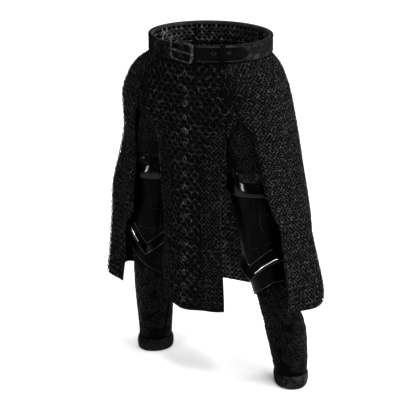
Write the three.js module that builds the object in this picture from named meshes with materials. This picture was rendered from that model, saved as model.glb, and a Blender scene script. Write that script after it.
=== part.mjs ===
// Belted mail skirt with plated leather leggings, standing open as if filled by a wearer.
// Four mail panels hang from one leather belt. The front panel is free of the side panels
// below the hips, so each leg shows in its own slit. Two leather leg tubes hang from the belt
// by a strap at each hip, and carry a thigh plate with a rolled rim, two knee lames and a cuff.
//
// Frame: +X is the wearer's left, -Y is the front, +Z is up, all in millimetres.
// The origin is the centre of the waist at the belt's mid height.
import * as THREE from "three";

// ---- Driving dimensions ----
const MAIL_THICK = 4;
const BELT_TALL = 44;
const BELT_THICK = 4;
const BELT_END_THICK = 3.2;
const BINDING_TALL = 10;
const BINDING_THICK = 8;
const LEATHER_THICK = 2.4;
const PLATE_THICK = 1.6;
const GAP = 0.3; // between pieces that touch
const WAIST_TILT = Math.tan(THREE.MathUtils.degToRad(5)); // the waist is lower in front

const SEAM_FRONT = 53.4; // degrees round the waist, from the side towards the front
const SEAM_BACK = -52;
const SLIT_TOP = -160; // the front seam ends here and the slit opens below
const ANKLE_Z = -1000;
const CUFF_TALL = 40;
// Each knee's point faces a little inwards, by tipAt degrees. An edge climbs riseOut millimetres from
// its tip to the outer side and RISE_IN to the inner side.
const KNEE = {
  left: { tipAt: -14, riseOut: 61, lameTip: -634, lowTop: -640, topOut: 1.2, topIn: 0.45, lowTip: -676, lowOut: 0.6, lowIn: 0.6 },
  right: { tipAt: -21, riseOut: 92, lameTip: -627, lowTop: -624, topOut: 1.6, topIn: 0.5, lowTip: -672, lowOut: 1.1, lowIn: 0.75 },
};
const RISE_IN = 50;

// A smooth curve through [height, value] pairs, highest first, level at both ends.
function profile(pairs) {
  return (z) => {
    const last = pairs.length - 1;
    if (z >= pairs[0][0]) return pairs[0][1];
    if (z <= pairs[last][0]) return pairs[last][1];
    const i = pairs.findIndex(([height]) => height <= z) - 1;
    const slope = (k) => {
      if (k <= 0 || k >= last) return 0;
      return (pairs[k + 1][1] - pairs[k - 1][1]) / (pairs[k + 1][0] - pairs[k - 1][0]);
    };
    const [z0, v0] = pairs[i];
    const [z1, v1] = pairs[i + 1];
    const span = z1 - z0;
    const s = (z - z0) / span;
    const ease = s * s * (3 - 2 * s);
    const lift = s * (1 - s) * (1 - s) * slope(i) * span;
    const fall = s * s * (1 - s) * slope(i + 1) * span;
    return v0 + (v1 - v0) * ease + lift - fall;
  };
}

const radians = THREE.MathUtils.degToRad;
const mix = THREE.MathUtils.lerp;
const smooth = (x, from, to) => THREE.MathUtils.smoothstep((x - from) / (to - from), 0, 1);
const steps = (from, to, count) => Array.from({ length: count + 1 }, (_, i) => mix(from, to, i / count));
const signedPower = (x, power) => Math.sign(x) * Math.abs(x) ** power;

// ---- The wall that every sheet, plate and band is made as ----
// outer and inner are grids of points, rows by columns. With wraps, the last column joins the first.
function wallBetween(outer, inner, wraps = false) {
  const rows = outer.length;
  const columns = outer[0].length;
  const at = (layer, row, column) => (layer * rows + row) * columns + (column % columns);
  const index = [];
  const quad = (a, b, c, d) => index.push(a, b, c, a, c, d);
  const across = wraps ? columns : columns - 1;
  for (let c = 0; c < across; c++) {
    for (let r = 0; r < rows - 1; r++) {
      quad(at(0, r, c), at(0, r + 1, c), at(0, r + 1, c + 1), at(0, r, c + 1));
      quad(at(1, r, c), at(1, r, c + 1), at(1, r + 1, c + 1), at(1, r + 1, c));
    }
    quad(at(0, 0, c), at(0, 0, c + 1), at(1, 0, c + 1), at(1, 0, c));
    quad(at(0, rows - 1, c), at(1, rows - 1, c), at(1, rows - 1, c + 1), at(0, rows - 1, c + 1));
  }
  for (let r = 0; r < rows - 1 && !wraps; r++) {
    const end = columns - 1;
    quad(at(0, r, 0), at(1, r, 0), at(1, r + 1, 0), at(0, r + 1, 0));
    quad(at(0, r, end), at(0, r + 1, end), at(1, r + 1, end), at(1, r, end));
  }
  const points = [...outer.flat(), ...inner.flat()];
  let volume = 0;
  for (let i = 0; i < index.length; i += 3) {
    const [a, b, c] = [points[index[i]], points[index[i + 1]], points[index[i + 2]]];
    volume += a.dot(b.clone().cross(c));
  }
  if (volume < 0) index.reverse();
  const geometry = new THREE.BufferGeometry().setFromPoints(points);
  geometry.setIndex(index);
  geometry.computeVertexNormals();
  return geometry;
}

// A point moved off a surface(u, v) along its outward normal. At the front of a surface, u runs
// from the wearer's left to the wearer's right.
function lifted(surface, u, v, distance) {
  const step = 0.05;
  const along = surface(u + step, v).sub(surface(u - step, v));
  const down = surface(u, v - step).sub(surface(u, v + step));
  const normal = along.cross(down).normalize();
  return surface(u, v).addScaledVector(normal, distance);
}

// A wall on a surface: spots is a grid of [u, v, low, high], the wall lying from low to high off it.
function wallOn(surface, spots, wraps = false) {
  const layer = (k) => spots.map((row) => row.map((s) => lifted(surface, s[0], s[1], s[k])));
  return wallBetween(layer(3), layer(2), wraps);
}

// ---- The skirt's form ----
// Heights run down from the belt's mid height. Round the waist, 0 degrees is the wearer's left
// hip, 90 the front, 180 the right hip and -90 the back.
const WAIST_HALF_WIDTH = 174;
const WAIST_HALF_DEPTH = 127.7;
const leftWidth = profile([
  [-24, WAIST_HALF_WIDTH], [-58, 200], [-110, 223], [-200, 246], [-300, 270], [-430, 299],
  [-510, 309], [-590, 329], [-670, 346], [-735, 342],
]);
const rightWidth = profile([
  [-24, WAIST_HALF_WIDTH], [-72, 230], [-110, 257], [-160, 275], [-266, 270], [-331, 281],
  [-427, 304], [-522, 310], [-639, 320], [-735, 331],
]);
const frontDepth = profile([
  [-24, WAIST_HALF_DEPTH], [-110, 130], [-200, 133], [-260, 150], [-450, 178], [-580, 190], [-735, 198],
]);
const rightFrontDepth = profile([
  [-24, WAIST_HALF_DEPTH], [-110, 130], [-200, 127], [-260, 126], [-340, 136], [-450, 144], [-530, 138], [-735, 130],
]);
const backDepth = profile([
  [-24, WAIST_HALF_DEPTH], [-70, 148], [-130, 166], [-210, 172], [-400, 158], [-735, 160],
]);
const squareness = profile([[-24, 2], [-200, 2.1], [-450, 2.3], [-735, 2.45]]);
const foldDepth = profile([[-150, 0], [-420, 5], [-735, 10]]);
const tiltShare = profile([[-80, 1], [-320, 0]]);
const SIDE_HEM = 706;
const RIGHT_HEM = 728;
const BACK_HEM = 764;
const FRONT_HEM = 745;
const hemDrop = (degrees) => {
  const side = mix(SIDE_HEM, RIGHT_HEM, smooth(-Math.cos(radians(degrees)), 0, 0.5));
  return mix(side, BACK_HEM, smooth(-Math.sin(radians(degrees)), 0.1, 0.85));
};

function skirt(degrees, height) {
  const t = radians(degrees);
  const width = Math.cos(t) >= 0 ? leftWidth(height) : rightWidth(height);
  const before = mix(frontDepth(height), rightFrontDepth(height), smooth(-Math.cos(t), 0, 0.5));
  const depth = Math.sin(t) >= 0 ? before : backDepth(height);
  const power = 2 / squareness(height);
  const fold = 1 + (foldDepth(height) * Math.cos(9 * t)) / 300;
  const x = width * signedPower(Math.cos(t), power) * fold;
  const y = -depth * signedPower(Math.sin(t), power) * fold;
  return new THREE.Vector3(x, y, height + y * WAIST_TILT * tiltShare(height));
}

// The front panel: across runs from -1 at the wearer's right edge to 1 at the left edge.
// It is the skirt's own form above the slits and hangs straight down below them.
// Its edges lie further back than its middle, and the right edge further than the left.
const panelHalfWidth = profile([[SLIT_TOP, 143], [-200, 122], [-260, 110], [-340, 105], [-735, 108]]);
const panelMiddleDepth = profile([[-200, 131], [-400, 133], [-735, 138]]);
const panelLeftDepth = profile([[-250, 98], [-342, 113], [-427, 119], [-533, 113], [-634, 105], [-735, 99]]);
const panelRightDepth = profile([[-250, 98], [-350, 94], [-410, 88], [-490, 74], [-590, 69], [-735, 77]]);

function frontPanel(across, height) {
  const joined = skirt(90 - across * (90 - SEAM_FRONT), height);
  const edgeDepth = across > 0 ? panelLeftDepth(height) : panelRightDepth(height);
  const depth = mix(panelMiddleDepth(height), edgeDepth, across * across);
  const ripple = 4 * smooth(height, -250, -700) * Math.cos(across * 7);
  const free = new THREE.Vector3(across * panelHalfWidth(height), -depth - ripple, height);
  return joined.lerp(free, smooth(height, SLIT_TOP, -250));
}

// ---- The four mail panels ----
const MAIL_TOP = BELT_TALL / 2 - BINDING_TALL - GAP;
const MAIL_ROWS = [
  MAIL_TOP, -24, -42, -66, -105, SLIT_TOP, -205, -260, -330, -400, -450, -490, -550, -620, -670,
];
// The side panels' front edges, in degrees round the skirt from each hip.
const leftSlit = profile([
  [SLIT_TOP, SEAM_FRONT], [-200, 45], [-260, 39.5], [-370, 37.5], [-435, 33], [-478, 27], [-620, 28],
  [-735, 30],
]);
const rightSlit = profile([
  [SLIT_TOP, SEAM_FRONT], [-200, 49], [-260, 47], [-340, 55], [-440, 59], [-488, 59], [-520, 52],
  [-550, 48], [-630, 48], [-735, 44],
]);
const seamRoom = (height) => THREE.MathUtils.radToDeg(GAP) / WAIST_HALF_DEPTH * mix(1, 0.6, smooth(height, -60, -200));

function mailGrid(columns, degreesAt) {
  const low = -MAIL_THICK / 2;
  const high = MAIL_THICK / 2;
  const rows = MAIL_ROWS.map((height) => steps(0, 1, columns).map((u) => [degreesAt(u, height), height, low, high]));
  rows.push(steps(0, 1, columns).map((u) => {
    const degrees = degreesAt(u, -SIDE_HEM);
    return [degrees, -hemDrop(degrees), low, high];
  }));
  return rows;
}

function frontMail() {
  const edge = 1 - seamRoom(0) / (90 - SEAM_FRONT);
  const grid = mailGrid(10, (u) => mix(-edge, edge, u));
  grid[grid.length - 1].forEach((spot) => {
    spot[1] = -FRONT_HEM;
  });
  return wallOn((u, v) => frontPanel(-u, v), grid);
}

function sideMail(side) {
  const slit = side > 0 ? leftSlit : rightSlit;
  const grid = mailGrid(14, (u, height) => {
    const from = slit(height) - seamRoom(height);
    const to = SEAM_BACK + seamRoom(height);
    return side > 0 ? mix(from, to, u) : 180 - mix(from, to, u);
  });
  return wallOn(skirt, grid);
}

function backMail() {
  const grid = mailGrid(12, (u, height) => {
    const from = SEAM_BACK - seamRoom(height);
    return mix(from, -180 - from, u);
  });
  return wallOn(skirt, grid);
}

// ---- The belt and the rolled binding inside its top edge ----
const ROUND = steps(0, 360, 56).slice(0, -1);
const BELT_LOW = MAIL_THICK / 2 + 3 * GAP;
const BELT_HIGH = BELT_LOW + BELT_THICK;
const END_LOW = BELT_HIGH + 2 * GAP;
const END_HIGH = END_LOW + BELT_END_THICK;
const BUCKLE_AT = 91; // degrees
const TIP_AT = 27;

const band = (columns, rows, low, high) => rows.map((v) => columns.map((u) => [u, v, low, high]));

function beltStrap() {
  return wallOn(skirt, band(ROUND, [BELT_TALL / 2, -BELT_TALL / 2], BELT_LOW, BELT_HIGH), true);
}

function binding() {
  const top = BELT_TALL / 2;
  const section = [[0, 0.6], [0.3, 1], [0.7, 1], [1, 0.6]];
  const outer = BELT_LOW - GAP;
  const rows = section.map(([share, fill]) => {
    const inner = outer - BINDING_THICK * fill;
    return ROUND.map((u) => [u, top - share * BINDING_TALL, inner, outer]);
  });
  return wallOn(skirt, rows, true);
}

// The free end of the belt, through the buckle and pointed at its tip.
function beltEnd() {
  const columns = steps(BUCKLE_AT - 2, TIP_AT, 14);
  const halfAt = (u) => {
    const toTip = (u - TIP_AT) / 9;
    return (BELT_TALL / 2 - 1) * Math.min(1, 0.12 + 0.88 * Math.max(toTip, 0) ** 0.8);
  };
  const rows = [1, 0, -1].map((side) => columns.map((u) => [u, side * halfAt(u), END_LOW, END_HIGH]));
  return wallOn(skirt, rows);
}

// A leather keeper that goes over the belt's end and turns back behind both its edges.
function keeper() {
  const reach = BELT_TALL / 2 + 1;
  const path = [[BELT_LOW, reach], [END_HIGH + 1, reach], [END_HIGH + 1, -reach], [BELT_LOW, -reach]];
  const skin = [[0, 1.6], [1.6, 1.6], [1.6, -1.6], [0, -1.6]];
  const columns = steps(52, 57, 2);
  const grid = (grow) => path.map(([off, v], i) => columns.map((u) => {
    return lifted(skirt, u, v + grow * skin[i][1], off + grow * skin[i][0]);
  }));
  return wallBetween(grid(1), grid(0.05));
}

// A closed wire or bar that follows a loop of [degrees, height] spots on the belt.
function loopOnBelt(loop, off, radius) {
  const corner = 22.5;
  const half = (turn) => [-67.5, -corner, corner, 67.5].map((a) => loop.map(([u, v], i) => {
    const [nextU, nextV] = loop[(i + 1) % loop.length];
    const [lastU, lastV] = loop[(i + loop.length - 1) % loop.length];
    const middle = lifted(skirt, u, v, off);
    const along = lifted(skirt, nextU, nextV, off).sub(lifted(skirt, lastU, lastV, off)).normalize();
    const out = lifted(skirt, u, v, off + 1).sub(middle).normalize();
    const side = along.cross(out).normalize();
    const angle = radians(turn ? 180 - a : a);
    return middle.addScaledVector(out, radius * Math.cos(angle)).addScaledVector(side, radius * Math.sin(angle));
  }));
  return wallBetween(half(false), half(true), true);
}

const BUCKLE_HALF_TALL = 25.5;
const BUCKLE_HALF_LONG = 10; // degrees
const BUCKLE_BAR = 3.4; // radius
const BUCKLE_OFF = END_HIGH + BUCKLE_BAR + GAP;
// The buckle leans: its pivot side stands higher on the belt than its tip side.
const buckleLean = (u) => 6 + 0.57 * (u - BUCKLE_AT);

function buckleFrame() {
  const spots = steps(0, 360, 36).slice(0, -1).map((a) => {
    const c = Math.cos(radians(a));
    const s = Math.sin(radians(a));
    const corner = c > 0 ? 0.45 : 0.22;
    const u = BUCKLE_AT - BUCKLE_HALF_LONG * signedPower(c, corner);
    return [u, buckleLean(u) + BUCKLE_HALF_TALL * signedPower(s, corner)];
  });
  return loopOnBelt(spots, BUCKLE_OFF, BUCKLE_BAR);
}

// The prong lies over the belt's end, from the left bar to the right one.
function buckleProng() {
  const radius = 2.2;
  const reach = BUCKLE_OFF + BUCKLE_BAR + radius + GAP;
  const columns = steps(BUCKLE_AT + BUCKLE_HALF_LONG, BUCKLE_AT - BUCKLE_HALF_LONG - 2, 10);
  const rows = [radius, radius * 0.6, -radius * 0.6, -radius].map((v, i) => columns.map((u) => {
    const bulge = i === 0 || i === 3 ? 0.5 : 1;
    return [u, buckleLean(u) + v, reach - radius * bulge, reach + radius * bulge];
  }));
  return wallOn(skirt, rows);
}

// ---- The legs ----
// side is 1 on the wearer's left and -1 on the right. Round a leg, 0 degrees is its front
// and 90 its outer side.
const legOutLeft = profile([
  [-100, 119], [-220, 143], [-350, 162], [-480, 179], [-600, 193], [-700, 215], [-820, 232],
  [ANKLE_Z, 242],
]);
const legOutRight = profile([
  [-100, 119], [-220, 143], [-350, 162], [-480, 179], [-600, 192], [-700, 205], [-820, 222],
  [ANKLE_Z, 236],
]);
const legBack = profile([
  [-100, 4], [-220, -4], [-400, -16], [-600, -16], [-700, 1], [-820, 38], [ANKLE_Z, 61],
]);
const legAcross = profile([
  [-100, 80], [-220, 80], [-390, 76], [-470, 66], [-600, 56], [-700, 53], [-760, 56], [-820, 58],
  [-920, 51], [ANKLE_Z, 43.5],
]);
const legDeep = profile([
  [-100, 90], [-220, 90], [-390, 81], [-470, 70], [-600, 60], [-700, 53], [-760, 54], [-820, 54],
  [-920, 50], [ANKLE_Z, 51],
]);
const toeOut = profile([[-600, 0], [-820, 12], [ANKLE_Z, 38]]);
const legTop = (degrees) => -150 + 60 * Math.sin(radians(degrees)) + 18 * Math.cos(radians(degrees));

function leg(side) {
  return (degrees, z) => {
    const a = radians(side * degrees);
    const across = legAcross(z) * Math.sin(a) * side;
    const deep = -legDeep(z) * Math.cos(a);
    const turn = radians(toeOut(z));
    const out = (side > 0 ? legOutLeft : legOutRight)(z) + across * Math.cos(turn) - deep * Math.sin(turn);
    return new THREE.Vector3(side * out, legBack(z) + across * Math.sin(turn) + deep * Math.cos(turn), z);
  };
}

// Each tube is a front and a back cut, sewn at the inner and outer sides.
const LEG_ROWS = [-260, -320, -390, -440, -490, -545, -600, -655, -710, -770, -820, -870, -920];
const LEG_COLUMNS = 9;
const LEG_SEAM = 90; // degrees from the front
const LEG_END = ANKLE_Z + CUFF_TALL;

function legHalf(side, front) {
  const room = 0.2;
  const from = (front ? -LEG_SEAM : LEG_SEAM) + room;
  const angles = steps(from, from + 180 - 2 * room, LEG_COLUMNS);
  const low = -LEATHER_THICK / 2;
  const high = LEATHER_THICK / 2;
  const topRow = angles.map((a) => [-side * a, legTop(a), low, high]);
  const midRow = angles.map((a) => [-side * a, mix(legTop(a), LEG_ROWS[0], 0.5), low, high]);
  const rows = [...LEG_ROWS, LEG_END + 2 * GAP].map((z) => angles.map((a) => [-side * a, z, low, high]));
  return wallOn(legSkin(side), [topRow, midRow, ...rows]);
}

// The leg's form with u turned so that lifting goes outwards on both legs: u is -side times the angle.
function legSkin(side) {
  const form = leg(side);
  return (u, z) => form(-side * u, z);
}

// A plate or band on a leg. edges gives its top and bottom height at an angle; low and high
// give how far off the leather it lies, from 0 at its top edge to 1 at its bottom edge.
function legBand(side, from, to, columns, shares, edges, low, high, wraps = false) {
  const angles = steps(from, to, columns);
  if (wraps) angles.pop();
  const spots = shares.map((share) => angles.map((a) => {
    const [top, bottom] = edges(a);
    return [-side * a, mix(top, bottom, share), low(share, a), high(share, a)];
  }));
  return wallOn(legSkin(side), spots, wraps);
}

const SKIN = LEATHER_THICK / 2;
const CUISSE_TOP = -394;
const CUISSE_TIP = -600;
const RIM_TALL = 36;
const PLATE_ROOM = 2.3; // the plates stand this far off the leather
const LAME_TUCK = 8; // how far the lower lame reaches up under the upper one
const kneeOf = (side) => (side > 0 ? KNEE.left : KNEE.right);
// An edge cut straight across the leg on each side of its tip.
const kneeEdge = (side, tip, a) => {
  const { tipAt, riseOut } = kneeOf(side);
  const turn = radians(Math.min(Math.abs(a - tipAt), 90));
  return tip + (a > tipAt ? riseOut : RISE_IN) * Math.sin(turn);
};
const nearTip = (side, a, reach) => Math.exp(-(((a - kneeOf(side).tipAt) / reach) ** 2));

function cuisse(side) {
  const low = SKIN + PLATE_ROOM;
  return legBand(side, -110, 110, 22, [0, 0.25, 0.5, 0.75, 1], (a) => [CUISSE_TOP, kneeEdge(side, CUISSE_TIP, a)],
    () => low, () => low + PLATE_THICK);
}

function cuisseRim(side) {
  const low = SKIN + PLATE_ROOM;
  const bulge = (share) => 3 + 6 * Math.sin(Math.PI * share);
  const edges = (a) => [CUISSE_TOP + RIM_TALL + 9 * nearTip(side, a, 15), CUISSE_TOP + 2 * GAP];
  return legBand(side, -120, 120, 24, [0, 0.25, 0.5, 0.75, 1], edges, () => low, (share) => low + bulge(share));
}

// The upper lame starts at the thigh plate's point, flares out to its own point, and stands
// out like a wing on the knee's outer side.
function upperLame(side) {
  const low = SKIN + PLATE_ROOM;
  const edges = (a) => [kneeEdge(side, CUISSE_TIP, a) - 2 * GAP, kneeEdge(side, kneeOf(side).lameTip, a)];
  const flare = (share, a) => {
    return low + 11 * share ** 1.5 * nearTip(side, a, 55) + 20 * share * smooth(a, 20, 90) + 4 * share;
  };
  return legBand(side, -110, 110, 22, [0, 0.5, 1], edges, flare, (share, a) => flare(share, a) + PLATE_THICK);
}

// The lower lame runs down from the outer side to the inner side, its top tucked under the upper one.
function lowerLame(side) {
  const low = SKIN + PLATE_ROOM;
  const { lameTip, lowTop, topOut, topIn, lowTip, lowOut, lowIn } = kneeOf(side);
  const top = (a) => Math.min(lowTop + (a > -20 ? topOut : topIn) * (a + 20), kneeEdge(side, lameTip, a)) + LAME_TUCK;
  const bottom = (a) => lowTip + (a > -20 ? lowOut * Math.min(a + 20, 60) : lowIn * (a + 20));
  const lift = (share) => low + 3 * share;
  return legBand(side, -100, 100, 20, [0, 0.5, 1], (a) => [top(a), bottom(a)], lift, (share) => lift(share) + PLATE_THICK);
}

function cuff(side) {
  const low = -LEATHER_THICK / 2;
  const bulge = (share) => LEATHER_THICK / 2 + 2 + 3.4 * Math.max(Math.sin(Math.PI * share), 0) ** 0.7;
  return legBand(side, 0, 360, 24, [0, 0.15, 0.5, 0.85, 1], () => [LEG_END, ANKLE_Z], () => low, bulge, true);
}

// The strap that carries a leg: it hangs from the belt inside the mail, against the outer hip.
function hanger(side) {
  const high = -MAIL_THICK / 2 - 4 * GAP;
  const middle = side > 0 ? 0 : 180;
  const columns = steps(middle - 5, middle + 5, 2);
  const rows = [MAIL_TOP - 2, -24, -42, -66, -105, -160];
  return wallOn(skirt, rows.map((v) => columns.map((u) => [u, v, high - 2, high])));
}

// ---- Materials and the finished group ----
const finish = (color, roughness, metalness) => new THREE.MeshStandardMaterial({ color, roughness, metalness });
const blackMail = finish(0x1c1c1e, 0.5, 0.8);
const blackLeather = finish(0x121213, 0.45, 0);
const tooledLeather = finish(0x0f0f10, 0.5, 0);
const blackSteel = finish(0x0b0b0c, 0.2, 0.9);
const buckleSteel = finish(0x2a2b2e, 0.35, 0.9);

const garment = new THREE.Group();
function add(name, geometry, material) {
  const mesh = new THREE.Mesh(geometry, material);
  mesh.name = name;
  garment.add(mesh);
}

add("mail_front", frontMail(), blackMail);
add("mail_back", backMail(), blackMail);
add("belt_strap", beltStrap(), blackLeather);
add("belt_end", beltEnd(), blackLeather);
add("belt_keeper", keeper(), blackLeather);
add("waist_binding", binding(), blackLeather);
add("buckle_frame", buckleFrame(), buckleSteel);
add("buckle_prong", buckleProng(), buckleSteel);
for (const [suffix, side] of [["left", 1], ["right", -1]]) {
  add(`mail_${suffix}`, sideMail(side), blackMail);
  add(`hip_strap_${suffix}`, hanger(side), blackLeather);
  add(`legging_front_${suffix}`, legHalf(side, true), tooledLeather);
  add(`legging_back_${suffix}`, legHalf(side, false), tooledLeather);
  add(`cuisse_${suffix}`, cuisse(side), blackSteel);
  add(`cuisse_rim_${suffix}`, cuisseRim(side), blackSteel);
  add(`knee_lame_upper_${suffix}`, upperLame(side), blackSteel);
  add(`knee_lame_lower_${suffix}`, lowerLame(side), blackSteel);
  add(`ankle_cuff_${suffix}`, cuff(side), blackLeather);
}

export default garment;
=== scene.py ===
# %% [markdown]
# # A belted mail skirt with plated leather leggings
# The garment stands open, as if a wearer filled it. Four mail panels hang from one leather belt.
# Two leather leggings show in the slits, each with a thigh plate, two knee lames and a cuff.
#
# This file builds it in Blender, one piece at a time. The solid model of the same garment is
# loaded first and used as a fixed frame: every piece made here has to sit where that model says.

# %% Load the frame and note its size
import math

import bmesh
import bpy
import numpy as np
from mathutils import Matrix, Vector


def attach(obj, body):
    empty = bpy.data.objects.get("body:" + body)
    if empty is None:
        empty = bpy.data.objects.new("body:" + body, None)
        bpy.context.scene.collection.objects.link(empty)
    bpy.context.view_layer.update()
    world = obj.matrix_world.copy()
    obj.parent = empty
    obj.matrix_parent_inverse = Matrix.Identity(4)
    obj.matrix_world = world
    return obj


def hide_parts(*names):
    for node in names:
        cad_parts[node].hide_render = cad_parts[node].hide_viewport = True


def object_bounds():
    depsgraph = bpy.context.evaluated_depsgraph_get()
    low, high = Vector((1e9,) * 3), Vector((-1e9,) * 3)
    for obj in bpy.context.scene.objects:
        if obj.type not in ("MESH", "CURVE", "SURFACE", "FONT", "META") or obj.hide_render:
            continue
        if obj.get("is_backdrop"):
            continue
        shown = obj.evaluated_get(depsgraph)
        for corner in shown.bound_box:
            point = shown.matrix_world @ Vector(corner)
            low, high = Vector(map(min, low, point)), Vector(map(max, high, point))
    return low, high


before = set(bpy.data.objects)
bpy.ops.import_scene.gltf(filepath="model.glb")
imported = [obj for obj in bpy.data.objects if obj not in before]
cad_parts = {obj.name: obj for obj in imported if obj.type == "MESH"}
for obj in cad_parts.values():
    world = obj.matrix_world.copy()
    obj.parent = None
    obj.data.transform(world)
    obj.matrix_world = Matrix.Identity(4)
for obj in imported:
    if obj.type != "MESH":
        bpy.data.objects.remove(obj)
frame_low, frame_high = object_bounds()
print("solid parts:", len(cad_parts))
print("garment box in metres:", [round(c, 3) for c in frame_high - frame_low])

# %% [markdown]
# ## The camera
# The camera comes first, so every later step can be judged from it. It looks down a little at
# the wearer's left front. A long lens from three metres keeps the near and far sides of the
# belt almost the same size, as a product picture does.

# %% Place the camera
AIM = (0.0, 0.0, -0.489)
CAMERA_TURN = math.radians(30.8)
CAMERA_HEIGHT = math.radians(19.1)
CAMERA_AWAY = 3.16

lens_block = bpy.data.cameras.new("camera")
lens_block.sensor_width = 36
lens_block.lens = 94.3
camera = bpy.data.objects.new("camera", lens_block)
bpy.context.collection.objects.link(camera)
camera.location = (
    AIM[0] + CAMERA_AWAY * math.sin(CAMERA_TURN) * math.cos(CAMERA_HEIGHT),
    AIM[1] - CAMERA_AWAY * math.cos(CAMERA_TURN) * math.cos(CAMERA_HEIGHT),
    AIM[2] + CAMERA_AWAY * math.sin(CAMERA_HEIGHT),
)
camera.rotation_euler = (math.pi / 2 - CAMERA_HEIGHT, 0, CAMERA_TURN)
bpy.context.scene.camera = camera
print("camera at", [round(c, 2) for c in camera.location])

# %% [markdown]
# ## Curves through measured sizes
# A tailor knows a skirt by a few sizes taken at a few heights. This helper runs a smooth curve
# through such pairs of height and size, so the form between them has no corners. All the sizes
# in this file are in millimetres, and are turned into metres only when a mesh is made.

# %% A smooth curve through [height, size] pairs
def sizes(pairs):
    heights = np.array([pair[0] for pair in pairs], float)
    values = np.array([pair[1] for pair in pairs], float)
    slopes = np.zeros(len(pairs))
    slopes[1:-1] = (values[2:] - values[:-2]) / (heights[2:] - heights[:-2])

    def at(height):
        h = np.clip(height, heights[-1], heights[0])
        i = np.clip(np.searchsorted(-heights, -h, side="right") - 1, 0, len(pairs) - 2)
        span = heights[i + 1] - heights[i]
        s = (h - heights[i]) / span
        eased = s * s * (3 - 2 * s)
        lift_off = s * (1 - s) ** 2 * slopes[i] * span
        settle = s * s * (1 - s) * slopes[i + 1] * span
        return values[i] + (values[i + 1] - values[i]) * eased + lift_off - settle

    return at


def ease(x, start, end):
    s = np.clip((x - start) / (end - start), 0, 1)
    return s * s * (3 - 2 * s)


def signed_power(x, power):
    return np.sign(x) * np.abs(x) ** power


# %% [markdown]
# ## The form of the skirt
# The skirt is an oval whose half width and half depth change from the belt to the hem. A point
# on it is named by an angle round the waist and a height. Zero degrees is the wearer's left
# hip, 90 the front, 180 the right hip and -90 the back. The two sides hang differently, so they
# have sizes of their own.

# %% The skirt's sizes
WAIST_TILT = math.tan(math.radians(5))  # the waist is lower in front
WAIST_WIDE, WAIST_DEEP = 174, 127.7

left_wide = sizes([
    (-24, WAIST_WIDE), (-58, 200), (-110, 223), (-200, 246), (-300, 270), (-430, 299),
    (-510, 309), (-590, 329), (-670, 346), (-735, 342),
])
right_wide = sizes([
    (-24, WAIST_WIDE), (-72, 230), (-110, 257), (-160, 275), (-266, 270), (-331, 281),
    (-427, 304), (-522, 310), (-639, 320), (-735, 331),
])
front_deep = sizes([
    (-24, WAIST_DEEP), (-110, 130), (-200, 133), (-260, 150), (-450, 178), (-580, 190), (-735, 198),
])
right_front_deep = sizes([
    (-24, WAIST_DEEP), (-110, 130), (-200, 127), (-260, 126), (-340, 136), (-450, 144),
    (-530, 138), (-735, 130),
])
back_deep = sizes([
    (-24, WAIST_DEEP), (-70, 148), (-130, 166), (-210, 172), (-400, 158), (-735, 160),
])
squareness = sizes([(-24, 2), (-200, 2.1), (-450, 2.3), (-735, 2.45)])
fold_deep = sizes([(-150, 0), (-420, 5), (-735, 10)])
tilt_share = sizes([(-80, 1), (-320, 0)])


def skirt(degrees, height):
    degrees, height = np.broadcast_arrays(np.asarray(degrees, float), np.asarray(height, float))
    turn = np.radians(degrees)
    wide = np.where(np.cos(turn) >= 0, left_wide(height), right_wide(height))
    to_right = ease(-np.cos(turn), 0, 0.5)
    before = front_deep(height) * (1 - to_right) + right_front_deep(height) * to_right
    deep = np.where(np.sin(turn) >= 0, before, back_deep(height))
    power = 2 / squareness(height)
    fold = 1 + fold_deep(height) * np.cos(9 * turn) / 300
    x = wide * signed_power(np.cos(turn), power) * fold
    y = -deep * signed_power(np.sin(turn), power) * fold
    return np.stack([x, y, height + y * WAIST_TILT * tilt_share(height)], -1)


print("belt round the outside:", round(float(np.pi * (WAIST_WIDE + WAIST_DEEP + 14)) / 1000, 2), "m")

# %% [markdown]
# ## The front panel
# Above the slits the front panel is part of the skirt's oval. Below them nothing holds its
# sides, so it hangs almost straight down, with its edges curving back towards the legs. The
# form is made by blending from one to the other over about ninety millimetres of height.

# %% The front panel's form
SEAM_FRONT, SEAM_BACK = 53.4, -52.0
SLIT_TOP = -160
SIDE_HEM, RIGHT_HEM, BACK_HEM, FRONT_HEM = 706, 728, 764, 745

panel_half = sizes([(SLIT_TOP, 143), (-200, 122), (-260, 110), (-340, 105), (-735, 108)])
panel_middle = sizes([(-200, 131), (-400, 133), (-735, 138)])
panel_left = sizes([(-250, 98), (-342, 113), (-427, 119), (-533, 113), (-634, 105), (-735, 99)])
panel_right = sizes([(-250, 98), (-350, 94), (-410, 88), (-490, 74), (-590, 69), (-735, 77)])


def front_panel(across, height):
    """across runs from -1 at the wearer's left edge to 1 at the right edge."""
    across, height = np.broadcast_arrays(-np.asarray(across, float), np.asarray(height, float))
    joined = skirt(90 - across * (90 - SEAM_FRONT), height)
    edge = np.where(across > 0, panel_left(height), panel_right(height))
    deep = panel_middle(height) * (1 - across ** 2) + edge * across ** 2
    ripple = 4 * ease(height, -250, -700) * np.cos(across * 7)
    free = np.stack([across * panel_half(height), -deep - ripple, height], -1)
    share = ease(height, SLIT_TOP, -250)[..., None]
    return joined * (1 - share) + free * share


left_slit = sizes([
    (SLIT_TOP, SEAM_FRONT), (-200, 45), (-260, 39.5), (-370, 37.5), (-435, 33), (-478, 27),
    (-620, 28), (-735, 30),
])
right_slit = sizes([
    (SLIT_TOP, SEAM_FRONT), (-200, 49), (-260, 47), (-340, 55), (-440, 59), (-488, 59),
    (-520, 52), (-550, 48), (-630, 48), (-735, 44),
])


def hem_drop(degrees):
    turn = np.radians(degrees)
    side = SIDE_HEM + (RIGHT_HEM - SIDE_HEM) * ease(-np.cos(turn), 0, 0.5)
    return side + (BACK_HEM - side) * ease(-np.sin(turn), 0.1, 0.85)


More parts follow.
